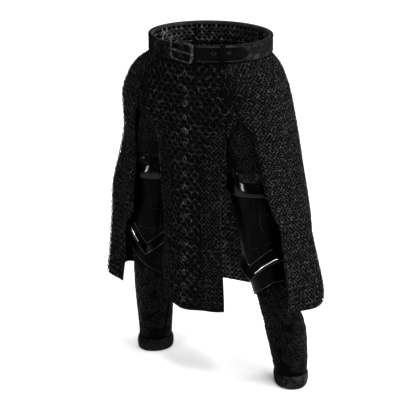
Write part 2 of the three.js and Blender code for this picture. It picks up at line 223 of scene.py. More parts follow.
# %% [markdown]
# ## The form of a leg
# Each legging is a tube round a leg that steps outwards and a little back towards the ankle,
# with the toes turned out. Round a leg, zero degrees is its front and 90 its outer side. The
# side is 1 for the wearer's left and -1 for the right. The left foot stands a little further
# out, so the two legs share every size but that one.

# %% The legs' sizes
ANKLE = -1000
leg_out = {
    1: sizes([
        (-100, 119), (-220, 143), (-350, 162), (-480, 179), (-600, 193), (-700, 215), (-820, 232),
        (ANKLE, 242),
    ]),
    -1: sizes([
        (-100, 119), (-220, 143), (-350, 162), (-480, 179), (-600, 192), (-700, 205), (-820, 222),
        (ANKLE, 236),
    ]),
}
leg_back = sizes([
    (-100, 4), (-220, -4), (-400, -16), (-600, -16), (-700, 1), (-820, 38), (ANKLE, 61),
])
leg_wide = sizes([
    (-100, 80), (-220, 80), (-390, 76), (-470, 66), (-600, 56), (-700, 53), (-760, 56),
    (-820, 58), (-920, 51), (ANKLE, 43.5),
])
leg_deep = sizes([
    (-100, 90), (-220, 90), (-390, 81), (-470, 70), (-600, 60), (-700, 53), (-760, 54),
    (-820, 54), (-920, 50), (ANKLE, 51),
])
toe_out = sizes([(-600, 0), (-820, 12), (ANKLE, 38)])


def leg_top(degrees):
    return -150 + 60 * np.sin(np.radians(degrees)) + 18 * np.cos(np.radians(degrees))


def leg_form(side):
    """A surface for one leg. u is -side times the angle, so that it turns the same way on both."""
    def surface(u, z):
        u, z = np.broadcast_arrays(np.asarray(u, float), np.asarray(z, float))
        angle = np.radians(-side * u)
        wide = leg_wide(z) * np.sin(angle)
        deep = -leg_deep(z) * np.cos(angle)
        turn = np.radians(toe_out(z))
        out = leg_out[side](z) + wide * np.cos(turn) - deep * np.sin(turn)
        back = leg_back(z) + wide * np.sin(turn) + deep * np.cos(turn)
        return np.stack([side * out, back, z], -1)

    return surface


LEG = {"left": leg_form(1), "right": leg_form(-1)}
SIDE = {"left": 1, "right": -1}
print("ankle centre, wearer's left:", float(leg_out[1](ANKLE)), float(leg_back(ANKLE)), "mm")

# %% [markdown]
# ## Lifting points off a form
# Mail lies on the form, a belt lies on the mail, a plate stands off the leather. All of these
# are the same move: take a point on a surface and push it out along the surface's own normal.
# The normal comes from two tiny steps, one along the surface and one down it.

# %% Move a point off a surface
def directions(surface, u, v):
    step = 0.05
    along = surface(u + step, v) - surface(u - step, v)
    down = surface(u, v - step) - surface(u, v + step)
    along /= np.linalg.norm(along, axis=-1, keepdims=True)
    normal = np.cross(along, down)
    normal /= np.linalg.norm(normal, axis=-1, keepdims=True)
    return along, normal


def lifted(surface, u, v, off):
    u, v, off = np.broadcast_arrays(*(np.asarray(a, float) for a in (u, v, off)))
    return surface(u, v) + directions(surface, u, v)[1] * off[..., None]


# %% [markdown]
# ## From points to a mesh object
# Most pieces here are walls: an outer grid of points, an inner grid, and the edge between them.
# Building the grids with numpy and handing Blender plain lists of vertices and faces is quick
# and gives even quads. Even quads bend light smoothly across a curved piece.

# %% Make a mesh object from points in millimetres
def mesh_object(name, points, faces):
    mesh = bpy.data.meshes.new(name)
    mesh.from_pydata((np.asarray(points) * 0.001).tolist(), [], faces)
    work = bmesh.new()
    work.from_mesh(mesh)
    bmesh.ops.recalc_face_normals(work, faces=work.faces)
    work.to_mesh(mesh)
    work.free()
    mesh.shade_smooth()
    piece = bpy.data.objects.new(name, mesh)
    bpy.context.collection.objects.link(piece)
    return piece


def grid_faces(rows, columns, wraps, start=0):
    across = columns if wraps else columns - 1
    r, c = np.meshgrid(np.arange(rows - 1), np.arange(across), indexing="ij")
    nxt = (c + 1) % columns
    quads = np.stack([r * columns + c, (r + 1) * columns + c, (r + 1) * columns + nxt, r * columns + nxt], -1)
    return (quads.reshape(-1, 4) + start).tolist()


def wall(name, surface, u, v, low, high, wraps=False):
    """A closed wall on a surface, from low to high off it. u and v are grids, rows by columns."""
    u, v, low, high = np.broadcast_arrays(*(np.asarray(a, float) for a in (u, v, low, high)))
    rows, columns = u.shape
    count = rows * columns
    outer = lifted(surface, u, v, high).reshape(-1, 3)
    inner = lifted(surface, u, v, low).reshape(-1, 3)
    faces = grid_faces(rows, columns, wraps) + grid_faces(rows, columns, wraps, count)
    border = [(0, c) for c in range(columns)], [(rows - 1, c) for c in range(columns)]
    loops = [[r * columns + c for r, c in side] for side in border]
    if wraps:
        loops = [loop + loop[:1] for loop in loops]
    else:
        loops += [[r * columns for r in range(rows)], [r * columns + columns - 1 for r in range(rows)]]
    for loop in loops:
        faces += [(a, b, b + count, a + count) for a, b in zip(loop, loop[1:])]
    return mesh_object(name, np.concatenate([outer, inner]), faces)


# %% [markdown]
# ## Softening a cut edge
# No real edge is perfectly sharp. A narrow bevel on every sharp edge gives it a thin line of
# light, which is most of what makes steel plate and cut leather look solid. The Bevel modifier
# does this without touching the flat faces, and weighted normals keep those faces flat.

# %% Bevel the sharp edges of a piece
def soften(piece, width_mm, segments=2, angle=40):
    bevel = piece.modifiers.new("edge", "BEVEL")
    bevel.width = width_mm * 0.001
    bevel.segments = segments
    bevel.limit_method = "ANGLE"
    bevel.angle_limit = math.radians(angle)
    bevel.harden_normals = False
    weighted = piece.modifiers.new("normals", "WEIGHTED_NORMAL")
    weighted.keep_sharp = True
    return piece


def hand_over(piece, material, slot, *nodes):
    """Give a piece its finish, let it ride on the garment and stand for its solid parts."""
    piece.data.materials.clear()
    piece.data.materials.append(material)
    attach(piece, "root")
    if nodes:
        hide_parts(*nodes)
    print(f"{piece.name}: {len(piece.data.polygons)} faces")
    return piece


# %% [markdown]
# ## A small kit for finishes
# Every finish below is a Principled shader with a few noise textures behind it. Noise read in
# object coordinates has a real size: a scale of 100 gives marks about ten millimetres across.
# These helpers keep each finish short enough to read.

# %% Helpers for materials
class Finish:
    def __init__(self, name):
        self.material = bpy.data.materials.new(name)
        self.material.use_nodes = True
        self.nodes = self.material.node_tree.nodes
        self.links = self.material.node_tree.links
        self.shader = self.nodes["Principled BSDF"]
        self.place = self.nodes.new("ShaderNodeTexCoord").outputs["Object"]

    def stretched(self, x, y, z):
        mapping = self.nodes.new("ShaderNodeMapping")
        mapping.inputs["Scale"].default_value = (x, y, z)
        self.links.new(self.place, mapping.inputs["Vector"])
        return mapping.outputs["Vector"]

    def noise(self, scale, detail=3, rough=0.5, where=None):
        node = self.nodes.new("ShaderNodeTexNoise")
        node.inputs["Scale"].default_value = scale
        node.inputs["Detail"].default_value = detail
        node.inputs["Roughness"].default_value = rough
        self.links.new(where or self.place, node.inputs["Vector"])
        return node.outputs["Fac"]

    def along(self, axis, low, high, start, end):
        """A number that runs from low to high between two places on an axis, in metres."""
        split = self.nodes.new("ShaderNodeSeparateXYZ")
        self.links.new(self.place, split.inputs["Vector"])
        return self.range(split.outputs[axis], low, high, start, end)

    def cells(self, scale):
        node = self.nodes.new("ShaderNodeTexVoronoi")
        node.inputs["Scale"].default_value = scale
        self.links.new(self.place, node.inputs["Vector"])
        return node.outputs["Distance"]

    def ramp(self, value, stops):
        node = self.nodes.new("ShaderNodeValToRGB")
        band = node.color_ramp
        while len(band.elements) < len(stops):
            band.elements.new(0.5)
        for element, (spot, colour) in zip(band.elements, stops):
            element.position = spot
            element.color = (*colour, 1)
        self.links.new(value, node.inputs["Fac"])
        return node.outputs["Color"]

    def range(self, value, low, high, start=0.3, end=0.7):
        node = self.nodes.new("ShaderNodeMapRange")
        for key, number in (("From Min", start), ("From Max", end), ("To Min", low), ("To Max", high)):
            node.inputs[key].default_value = number
        self.links.new(value, node.inputs["Value"])
        return node.outputs["Result"]

    def mix(self, share, first, second):
        node = self.nodes.new("ShaderNodeMix")
        node.data_type = "RGBA"
        for key, source in (("Factor", share), ("A", first), ("B", second)):
            socket = node.inputs[key]
            if isinstance(source, (int, float)):
                socket.default_value = source
            elif isinstance(source, tuple):
                socket.default_value = (*source, 1)
            else:
                self.links.new(source, socket)
        return node.outputs["Result"]

    def bump(self, height, distance, strength=1.0, under=None):
        node = self.nodes.new("ShaderNodeBump")
        node.inputs["Strength"].default_value = strength
        node.inputs["Distance"].default_value = distance
        self.links.new(height, node.inputs["Height"])
        if under:
            self.links.new(under, node.inputs["Normal"])
        return node.outputs["Normal"]

    def done(self, colour, rough, normal=None, **fixed):
        self.links.new(colour, self.shader.inputs["Base Color"])
        self.links.new(rough, self.shader.inputs["Roughness"])
        if normal:
            self.links.new(normal, self.shader.inputs["Normal"])
        for key, number in fixed.items():
            self.shader.inputs[key.replace("_", " ")].default_value = number
        return self.material


# %% [markdown]
# ## Mail finishes
# The rings are blackened iron that has rubbed bright where they touch. Each ring takes its tone
# from a noise about as large as a ring, so neighbours differ, and a little brown stays in the
# hollows. Fine rings take finer patches. The specular tint is low, because thousands of tiny
# wires seen edge-on would otherwise turn the mail pale at its sides. The rings inside the skirt
# take a far paler copy of the steel: painted light. Behind the rings is a near-black backing that
# closes the gaps between them; its near-black is painted shade.

# %% Ring steel and the backing behind it
def ring_steel(name, dark, worn, patch=75):
    """patch is the noise scale of the dark and worn patches: a higher one makes them smaller."""
    f = Finish(name)
    tone = f.ramp(f.noise(patch, 3, 0.6), [(0.34, tuple(c * 0.35 for c in dark)), (0.52, dark), (0.68, worn)])
    rust = f.range(f.noise(230, 2), 0, 0.35, 0.55, 0.68)
    deep_brown = (worn[0] * 0.7, worn[1] * 0.55, worn[2] * 0.4)
    pale_brown = (worn[0], worn[1] * 0.88, worn[2] * 0.76)
    warm = f.ramp(f.noise(90, 1), [(0.3, deep_brown), (0.7, pale_brown)])
    rough = f.range(f.noise(150, 3), 0.28, 0.5)
    pitted = f.bump(f.noise(900, 2), 0.0004, 0.5)
    return f.done(f.mix(rust, tone, warm), rough, pitted, Metallic=0.95, Specular_Tint=(0.25, 0.25, 0.25, 1))


def mail_painted_shade_backing():
    f = Finish("mail_painted_shade_backing")
    # Near-black: painted shade, for the dark seen through the gaps between the rings.
    colour = f.ramp(f.noise(70, 3), [(0.3, (0.0006, 0.0006, 0.0007)), (0.7, (0.0016, 0.0016, 0.0018))])
    rough = f.range(f.noise(120), 0.75, 0.95)
    return f.done(colour, rough, f.bump(f.cells(420), 0.0008, 0.6), Specular_IOR_Level=0.012)


FRONT_STEEL = ring_steel("front_ring_steel", (0.0072, 0.0075, 0.0075), (0.06, 0.062, 0.061))
SIDE_STEEL = ring_steel("side_ring_steel", (0.0078, 0.0081, 0.0081), (0.078, 0.0797, 0.0787), 150)
FINE_STEEL = ring_steel("fine_ring_steel", (0.0065, 0.0068, 0.0068), (0.055, 0.0565, 0.0558), 130)
# A far paler copy of the ring steel for the inside rings: painted light on the inside.
PAINTED_LIGHT_INSIDE_STEEL = ring_steel("painted_light_inside_ring_steel", (0.057, 0.059, 0.059), (0.275, 0.28, 0.276))
LINK_STEEL = ring_steel("middle_link_steel", (0.05, 0.051, 0.051), (0.165, 0.168, 0.166))
MAIL_PAINTED_SHADE_BACKING = mail_painted_shade_backing()
MAIL_FINISHES = (FRONT_STEEL, SIDE_STEEL, FINE_STEEL, PAINTED_LIGHT_INSIDE_STEEL, LINK_STEEL, MAIL_PAINTED_SHADE_BACKING)
print("mail finishes:", [finish.name for finish in MAIL_FINISHES])

# %% [markdown]
# ## Leather finishes
# The belt's strap is dry and scuffed, its free end is newer and blacker, and edges that rub are
# paler. The strap darkens towards the wearer's right hip, which is painted shade, and a pale strip
# on the free end's top edge is a painted highlight. The leggings are tooled leather, darker below
# the knee: painted shade against the floor's light on the lower legs. One recipe makes them all.
# Grain is a Voronoi pattern a little over a millimetre across, with finer noise on top. Creases
# and rubbed patches are larger and softer, and come from slower noise.

# %% One recipe for every leather
def leather(name, dark, worn, grain, gloss, shine, crease=1.0, painted_dark_end=None):
    """gloss is the least and most roughness. The last argument paints shade on one end, as Finish.along takes
    it.
    """
    f = Finish(name)
    rubbed = f.range(f.noise(26, 4, 0.6), 0, 1, 0.5, 0.72)
    scuffs = f.range(f.noise(140, 4, 0.7), 0, 0.5, 0.55, 0.72)
    tone = f.ramp(f.noise(9, 3), [(0.3, dark), (0.75, tuple(c * 1.7 for c in dark))])
    blotch = f.ramp(f.noise(60, 2), [(0.3, dark), (0.8, worn)])
    colour = f.mix(scuffs, f.mix(rubbed, tone, blotch), worn)
    if painted_dark_end:
        # Painted shade: one end is mixed towards black.
        colour = f.mix(f.along(*painted_dark_end), colour, (0.0, 0.0, 0.0))
    rough = f.range(f.noise(40, 4, 0.6), *gloss)
    cracks = f.bump(f.noise(34 * crease, 5, 0.65), 0.0022 * crease, 0.45 + 0.1 * crease)
    pores = f.bump(f.cells(grain), 0.0007, 0.7, cracks)
    fine_grain = f.bump(f.noise(grain * 2.4, 2), 0.00025, 0.4, pores)
    return f.done(colour, rough, fine_grain, Specular_IOR_Level=shine)


# %% The leathers of this garment
def grey(value):
    return (value, value, value)


# Painted shade: the strap darkens towards the wearer's right hip.
PAINTED_SHADE_RIGHT_HIP = ("X", 0.8, 0.0, -0.14, 0.08)
# Painted shade: the tooled leather darkens below the knee, against the floor's light.
PAINTED_SHADE_LOW_LEG = ("Z", 0.65, 0.0, -0.7, -0.5)
SCUFFED, SUPPLE = (0.5, 0.8), (0.4, 0.7)

STRAP_LEATHER = leather("strap_leather", grey(0.0026), grey(0.048), 420, SCUFFED, 0.0003, 2.2, PAINTED_SHADE_RIGHT_HIP)
CUFF_LEATHER = leather("cuff_leather", grey(0.0024), grey(0.042), 420, SUPPLE, 0.004, 2.2)
END_LEATHER = leather(
    "free_end_leather", (0.0006, 0.00058, 0.00058), (0.0045, 0.0044, 0.0043), 620, (0.18, 0.36), 0.012, 2.2)
EDGE_LEATHER = leather(
    "edge_leather", (0.009, 0.0088, 0.0087), (0.05, 0.049, 0.048), 620, (0.35, 0.6), 0.04, 1.6)
# A pale leather for a strip on the free end's top edge: a painted highlight.
PAINTED_HIGHLIGHT_LEATHER = leather("painted_highlight_leather", grey(0.009), grey(0.13), 620, (0.3, 0.55), 0.05, 1.6)
HOLE_LEATHER = leather(
    "hole_leather", (0.009, 0.0085, 0.008), (0.03, 0.028, 0.025), 620, (0.4, 0.6), 0.02)
TOOLED_LEATHER = leather(
    "tooled_leather", grey(0.0008), (0.0038, 0.0036, 0.0035), 520, (0.42, 0.7), 0.01, 1.0, PAINTED_SHADE_LOW_LEG)
RAISED_LEATHER = leather(
    "raised_leather", (0.0024, 0.0023, 0.0022), (0.021, 0.02, 0.0195), 700, (0.3, 0.5), 0.05, 1.0, PAINTED_SHADE_LOW_LEG)
print("leathers:", [m.name for m in bpy.data.materials if m.name.endswith("leather")])

# %% [markdown]
# ## Plate and buckle steel
# The plates are blackened and waxed, so what they show is mostly a soft picture of the room. Long
# faint scratches and brown streaks run down them: the noise is stretched along the plate. The
# rolled rims are polished harder and give sharp glints. The beads on the plate edges and a strip
# on each upper lame are paler steel, painted highlights. The buckle is greyer, with bright scuffs.

# %% Black plate and buckle steel
def black_plate(name, shine, low=0.11, high=0.3):
    """Black steel. shine brightens rims and paints highlights on beads and a lip; low and high are the
    roughness.
    """
    f = Finish(name)
    tone = lambda r, g, b: (r * shine, g * shine, b * shine)
    along = f.stretched(1, 1, 0.16)
    brown = 0.8 if shine == 1 else 0.25
    streaks = f.range(f.noise(75, 4, 0.6, along), 0, brown, 0.5, 0.72)
    colour = f.mix(
        streaks,
        f.ramp(f.noise(14, 3), [(0.3, tone(0.001, 0.001, 0.0011)), (0.7, tone(0.0021, 0.002, 0.002))]),
        f.ramp(f.noise(40, 2), [(0.3, tone(0.0056, 0.0032, 0.002)), (0.7, tone(0.003, 0.0029, 0.003))]),
    )
    rough = f.range(f.noise(120, 5, 0.7, along), low, high)
    scratches = f.bump(f.noise(900, 2, 0.6, f.stretched(1, 1, 0.05)), 0.00008, 0.35)
    uneven = f.bump(f.noise(11, 3), 0.003, 0.12, scratches)
    return f.done(colour, rough, uneven, Metallic=1.0, Specular_Tint=(0.75, 0.75, 0.75, 1))


def buckle_metal():
    f = Finish("buckle_metal")
    tones = [(0.32, (0.004, 0.004, 0.0042)), (0.52, (0.014, 0.014, 0.0146)), (0.72, (0.075, 0.075, 0.078))]
    colour = f.ramp(f.noise(120, 4, 0.6), tones)
    rough = f.range(f.noise(200, 4), 0.22, 0.48)
    return f.done(colour, rough, f.bump(f.noise(500, 4), 0.0005, 0.4), Metallic=1.0)


BLACK_PLATE = black_plate("black_plate", 1, 0.26, 0.5)
RIM_PLATE = black_plate("rim_plate", 5, 0.07, 0.2)
# Two paler copies of the plate steel paint highlights: one on the edge beads, one on the knee lip.
BEAD_HIGHLIGHT_PLATE = black_plate("bead_painted_highlight_plate", 15)
LIP_HIGHLIGHT_PLATE = black_plate("lip_painted_highlight_plate", 420)
BUCKLE_METAL = buckle_metal()
PLATE_FINISHES = (BLACK_PLATE, RIM_PLATE, BEAD_HIGHLIGHT_PLATE, LIP_HIGHLIGHT_PLATE, BUCKLE_METAL)
print("plate and buckle finishes:", [finish.name for finish in PLATE_FINISHES])

# %% [markdown]
# ## How mail is laid
# In this mail every ring passes through four others: two in the row above and two in the row
# below. The rings of one row lean one way and the rings of the next row the other way, and the
# rows are shifted by half a ring.
#
# Thousands of separate objects would be slow, so each panel's rings become one mesh. The rows
# follow the cloth: each keeps its distance down the panel's middle, and in each row the rings
# keep their distance along the cloth, so they are never stretched.

# %% Lay the rows of rings on a panel
def ring_places(surface, middle, edges, top, hem, across_pitch, down_pitch, bottom=-2000):
    """u, height and row number of every ring, from the panel's middle line outwards."""
    heights = np.arange(top, -hem(middle) - 60, -0.5)
    line = surface(np.full_like(heights, middle), heights)
    drop = np.concatenate([[0], np.cumsum(np.linalg.norm(np.diff(line, axis=0), axis=1))])
    rows = np.interp(np.arange(0, drop[-1], down_pitch), drop, heights)
    found = []
    for number, height in enumerate(rows):
        start, end = edges(height)
        u = np.linspace(start, end, 500)
        row = surface(u, np.full_like(u, height))
        length = np.concatenate([[0], np.cumsum(np.linalg.norm(np.diff(row, axis=0), axis=1))])
        centre = np.interp(middle, u, length)
        shift = 0.5 * (number % 2)
        least = math.ceil((across_pitch * 0.36 - centre) / across_pitch - shift)
        most = math.floor((length[-1] - across_pitch * 0.36 - centre) / across_pitch - shift)
        spots = centre + (np.arange(least, most + 1) + shift) * across_pitch
        u_spots = np.interp(spots, length, u)
        keep = height > np.maximum(-hem(u_spots) + down_pitch, bottom)
        found += [(a, height, number) for a in u_spots[keep]]
    return np.array(found)


# %% [markdown]
# ## Bending the wire
# A ring is a thin torus. Its centre stands a little off the backing, and its plane leans about
# a line that runs along the row. A little seeded unevenness in each ring's lean and size stops
# the pattern from looking printed.

# %% Turn ring places into one mesh
CHANCE = np.random.default_rng(7)


def ring_mesh(name, surface, places, ring, wire, off, lean, around, section, loose=1.0):
    """loose is how unevenly the rings lie: one number, or one for each ring."""
    u, height, row = places.T
    count = len(u)
    loose = np.broadcast_to(np.asarray(loose, float), count)
    along, normal = directions(surface, u, height)
    if off < 0:
        normal = -normal
    upward = np.cross(normal, along) * (1 if off > 0 else -1)
    swing = np.radians(CHANCE.normal(0, 6, count) * loose)[:, None]
    swung = along * np.cos(swing) + upward * np.sin(swing)
    upward = upward * np.cos(swing) - along * np.sin(swing)
    along = swung
    tilt = np.radians(lean * np.where(row % 2 == 0, 1, -1) + CHANCE.normal(0, 5, count) * loose)[:, None]
    leaning = upward * np.cos(tilt) + normal * np.sin(tilt)
    roll = np.radians(CHANCE.normal(0, 6, count) * loose)[:, None]
    flatwise = along * np.cos(roll) + normal * np.sin(roll)
    axis = np.cross(flatwise, leaning)
    radius = (ring - wire) * CHANCE.normal(1, 0.02, count)[:, None, None, None]
    centre = surface(u, height) + normal * (abs(off) + CHANCE.normal(0, 0.25, count)[:, None])
    turn = np.linspace(0, 2 * np.pi, around, endpoint=False)[None, :, None, None]
    small = np.linspace(0, 2 * np.pi, section, endpoint=False)[None, None, :, None]
    outward = np.cos(turn) * flatwise[:, None, None, :] + np.sin(turn) * leaning[:, None, None, :]
    points = (
        centre[:, None, None, :]
        + outward * (radius + wire * np.cos(small))
        + axis[:, None, None, :] * wire * np.sin(small)
    ).reshape(-1, 3)
    a, s = np.meshgrid(np.arange(around), np.arange(section), indexing="ij")
    a2, s2 = (a + 1) % around, (s + 1) % section
    one = np.stack([a * section + s, a2 * section + s, a2 * section + s2, a * section + s2], -1)
    one = one.reshape(-1, 4)
    quads = (one[None] + (np.arange(count) * around * section)[:, None, None]).reshape(-1, 4)
    return quick_mesh(name, points, quads)


# %% [markdown]
# ## Handing large meshes to Blender
# A list of tuples is slow for half a million corners. foreach_set copies numpy arrays straight
# into the mesh, which takes a fraction of a second.

# %% Fill a mesh from arrays
def quick_mesh(name, points, quads):
    mesh = bpy.data.meshes.new(name)
    mesh.vertices.add(len(points))
    mesh.vertices.foreach_set("co", (points * 0.001).astype(np.float32).ravel())
    mesh.loops.add(quads.size)
    mesh.loops.foreach_set("vertex_index", quads.astype(np.int32).ravel())
    mesh.polygons.add(len(quads))
    mesh.polygons.foreach_set("loop_start", np.arange(0, quads.size, 4, dtype=np.int32))
    mesh.polygons.foreach_set("loop_total", np.full(len(quads), 4, dtype=np.int32))
    mesh.update(calc_edges=True)
    mesh.shade_smooth()
    piece = bpy.data.objects.new(name, mesh)
    bpy.context.collection.objects.link(piece)
    return piece


# %% [markdown]
# ## Raised lines
# A raised line is a row of the same low half-round section, carried along a path on a surface. It
# serves for an edge wire on the mail, a crease on the belt, tooled scrolls and chased steel.

# %% A low half-round ridge along a path
def ridge(surface, u, v, off, half, rise):
    """A long low half-round ridge on a surface, fading at both ends."""
    middle = lifted(surface, u, v, off)
    heading = np.gradient(middle, axis=0)
    heading /= np.linalg.norm(heading, axis=1, keepdims=True)
    normal = directions(surface, u, v)[1]
    across = np.cross(heading, normal)
    fade = np.sin(np.linspace(0.25, np.pi - 0.35, len(u)))[:, None] ** 0.5
    section = [(-1.0, -0.25), (-0.6, 0.75), (0.0, 1.0), (0.6, 0.75), (1.0, -0.25)]
    rows = [middle + across * half * fade * a + normal * rise * (b * fade) for a, b in section]
    return np.stack(rows, 1)


def ridge_object(name, surface, u, v, off, half, rise):
    grid = ridge(surface, u, v, off, half, rise)
    return mesh_object(name, grid.reshape(-1, 3), grid_faces(len(grid), 5, False))


# %% [markdown]
# ## Small oval rims
# Belt holes and strap studs are the same shape: a low oval lip round a dished middle. It is
# turned like a plate from a short profile of radius and height.

# %% An oval lip round a dished middle
def eyelet(name, surface, u, v, off, wide, tall, lip):
    turn = np.linspace(0, 2 * np.pi, 20, endpoint=False)
    per_mm = 1 / np.linalg.norm(surface(u + 0.5, v) - surface(u - 0.5, v))
    profile = [(1.0, -0.2), (0.97, lip * 0.8), (0.8, lip), (0.66, lip * 0.4), (0.6, -0.15), (0.3, -0.2)]
    across, up = wide * np.cos(turn) * per_mm, tall * np.sin(turn)
    rows = [lifted(surface, u + across * r, v + up * r, off + h) for r, h in profile]
    points = np.concatenate(rows)
    faces = grid_faces(len(profile), 20, True) + [tuple(range(100, 120))]
    return mesh_object(name, points, faces)


# %% [markdown]
# ## The mail panels
# Each panel is a thin backing wall with its rings on the outside. The rings start just under
# the belt. The front panel has large loose rings down its middle and fine ones at its edges; the
# other panels are fine all over, with rings on the inside too where the waist or the slits let
# it be seen. A cloth piece also says how large it was cut: its widest row, the length of its
# middle line, and its true area, all measured from the same form.

# %% Where each panel begins and ends
MAIL_TOP = 11.7
RINGS_TOP = -29
ROOM = math.degrees(0.03 / WAIST_DEEP)

PANELS = {
    "front": dict(
        form=front_panel,
        middle=0.0,
        edges=lambda h: (-0.995, 0.995),
        hem=lambda u: FRONT_HEM + 0 * u,
    ),
    "left": dict(
        form=skirt,
        middle=0.0,
        edges=lambda h: (SEAM_BACK + ROOM, float(left_slit(h)) - ROOM),
        hem=hem_drop,
    ),
    "right": dict(
        form=skirt,
        middle=180.0,
        edges=lambda h: (180 - float(right_slit(h)) + ROOM, 180 - SEAM_BACK - ROOM),
        hem=hem_drop,
    ),
    "back": dict(form=skirt, middle=270.0, edges=lambda h: (232 + ROOM, 308 - ROOM), hem=hem_drop),
}


# %% Measure a panel's cut and make its backing
def panel_grid(panel, columns=46, rows=64):
    heights = np.concatenate([np.linspace(MAIL_TOP, -24, 6)[:-1], np.linspace(-24, -SIDE_HEM, rows)])
    spread = np.linspace(0, 1, columns)
    u = np.array([np.interp(spread, [0, 1], panel["edges"](h)) for h in heights])
    v = np.repeat(heights[:, None], columns, 1)
    near_hem = ease(v, -560, -SIDE_HEM)
    v = v + (-panel["hem"](u) + SIDE_HEM) * near_hem
    return u, v


def cut_of(form, u, v):
    """Widest row, middle length and area in metres, from a grid of points on a form."""
    points = form(u, v) * 0.001
    row_lengths = np.linalg.norm(np.diff(points, axis=1), axis=-1).sum(1)
    column_lengths = np.linalg.norm(np.diff(points, axis=0), axis=-1).sum(0)
    one = np.cross(points[1:, :-1] - points[:-1, :-1], points[:-1, 1:] - points[:-1, :-1])
    two = np.cross(points[1:, 1:] - points[1:, :-1], points[1:, 1:] - points[:-1, 1:])
    area = (np.linalg.norm(one, axis=-1).sum() + np.linalg.norm(two, axis=-1).sum()) / 2
    return float(row_lengths.max()), float(column_lengths.max()), float(area)


# %% [markdown]
# Large rings show at every size, so they get a round wire and many corners. A fine ring is only a
# few times wider than its wire, so eight corners are enough: the whole garment has nearly
# twelve thousand rings, and each corner saved on a ring saves many triangles in all.
#
# Two things lie on the front panel besides its rings: a column of tall drop-shaped links down
# its middle, and a wire that binds each of its free edges.

# %% Lay rings on a panel
RING = {"front": 11.7, "front_edge": 6.8, "left": 6.5, "right": 9.0, "back": 8.4}
FINE_PITCH, INSIDE_PITCH, LARGE_PITCH = (1.74, 0.97), (1.72, 0.96), (1.8, 1.13)


def lay(panel, ring, pitch, top, bottom=-2000):
    form, middle, edges, hem = (panel[key] for key in ("form", "middle", "edges", "hem"))
    return ring_places(form, middle, edges, top, hem, ring * pitch[0], ring * pitch[1], bottom)


def fine_rings(name, panel, places, ring, wire, off, material):
    rings = ring_mesh(name, panel["form"], places, ring, wire, off, lean=17, around=8, section=3)
    return hand_over(rings, material, "mail")


def coarse_half(height):
    """How far from the front panel's middle line, from 0 to 1, its large rings reach."""
    return 0.9 - 0.42 * ease(-height, 120, 330)


def middle_link(number, height):
    """A tall drop-shaped link that lies flat on the front panel's middle line."""
    turn = np.linspace(0, 2 * np.pi, 22)
    up = -7.4 * np.cos(turn)
    across = 4.6 * np.sin(turn) * (1 - 0.45 * ease(up, 0, 7.4))
    per_mm = 1 / np.linalg.norm(front_panel(0.5, height) - front_panel(-0.5, height))
    return ridge_object(f"middle_link_{number}", front_panel, across * per_mm, height + up, 2.6, 1.0, 1.3)


# %% Everything that lies on the front panel
def front_mail(panel):
    ring, edge_ring = RING["front"], RING["front_edge"]
    places = lay(panel, ring, LARGE_PITCH, RINGS_TOP)
    places = places[np.abs(places[:, 0]) < coarse_half(places[:, 1])]
    loose = 1.0 + 1.4 * ease(np.abs(places[:, 0]), 0.15, 0.6)
    rings = ring_mesh("mail_rings_front", front_panel, places, ring, 0.8, 0.7 + ring * 0.15, 9, 22, 4, loose)
    on_it = [hand_over(rings, FRONT_STEEL, "mail")]
    fine = lay(panel, edge_ring, FINE_PITCH, RINGS_TOP)
    fine = fine[np.abs(fine[:, 0]) > coarse_half(fine[:, 1]) + 0.03]
    on_it.append(fine_rings("mail_rings_front_fine", panel, fine, edge_ring, 0.8, 2.2, FINE_STEEL))
    on_it += [hand_over(middle_link(k, -56 - 41 * k), LINK_STEEL, "mail") for k in range(17)]
    heights = np.linspace(-170, -FRONT_HEM + 4, 120)
    for edge, across in (("left", -0.985), ("right", 0.985)):
        u = np.full(120, across)
        wire = ridge_object(f"edge_wire_{edge}", front_panel, u, heights, 0.6, 1.3, 2.6)
        on_it.append(hand_over(wire, FRONT_STEEL, "mail"))
    return on_it, len(places) + len(fine)


# %% Rings outside and inside the other panels
def fine_mail(side_name, panel):
    ring = RING[side_name]
    wire = 0.8 if ring > 7 else 0.72
    name = f"mail_rings_{side_name}"
    places = lay(panel, ring, FINE_PITCH, RINGS_TOP)
    outer = fine_rings(name, panel, places, ring, wire, 0.7 + ring * 0.25, SIDE_STEEL)
    inside_ends = -2000 if side_name == "back" else -150
    inside = lay(panel, ring, INSIDE_PITCH, 7, inside_ends)
    # The inside rings take the paler steel: painted light.
    inner = fine_rings(f"{name}_inside", panel, inside, ring, wire, -0.7 - ring * 0.3, PAINTED_LIGHT_INSIDE_STEEL)
    return [outer, inner], len(places) + len(inside)


# %% Make the four panels
for side_name, panel in PANELS.items():
    u, v = panel_grid(panel)
    # The backing's near-black is painted shade between the rings.
    backing = wall(f"mail_backing_{side_name}", panel["form"], u, v, -0.7, 0.7)
    hand_over(backing, MAIL_PAINTED_SHADE_BACKING, "mail", f"mail_{side_name}")
    on_it, count = front_mail(panel) if side_name == "front" else fine_mail(side_name, panel)
    wide, long, area = cut_of(panel["form"], u, v)
    print(f"{side_name}: {count} rings, cut {wide:.3f} by {long:.3f} m, {area:.3f} square metres")

# %% [markdown]
# ## The belt
# A belt is one long strap with rounded edges, so it is swept: a small rounded outline is carried
# round the waist. The same sweep makes the binding, the free end and the straps. Only the outline
# changes along the way, as where the free end narrows to its point.

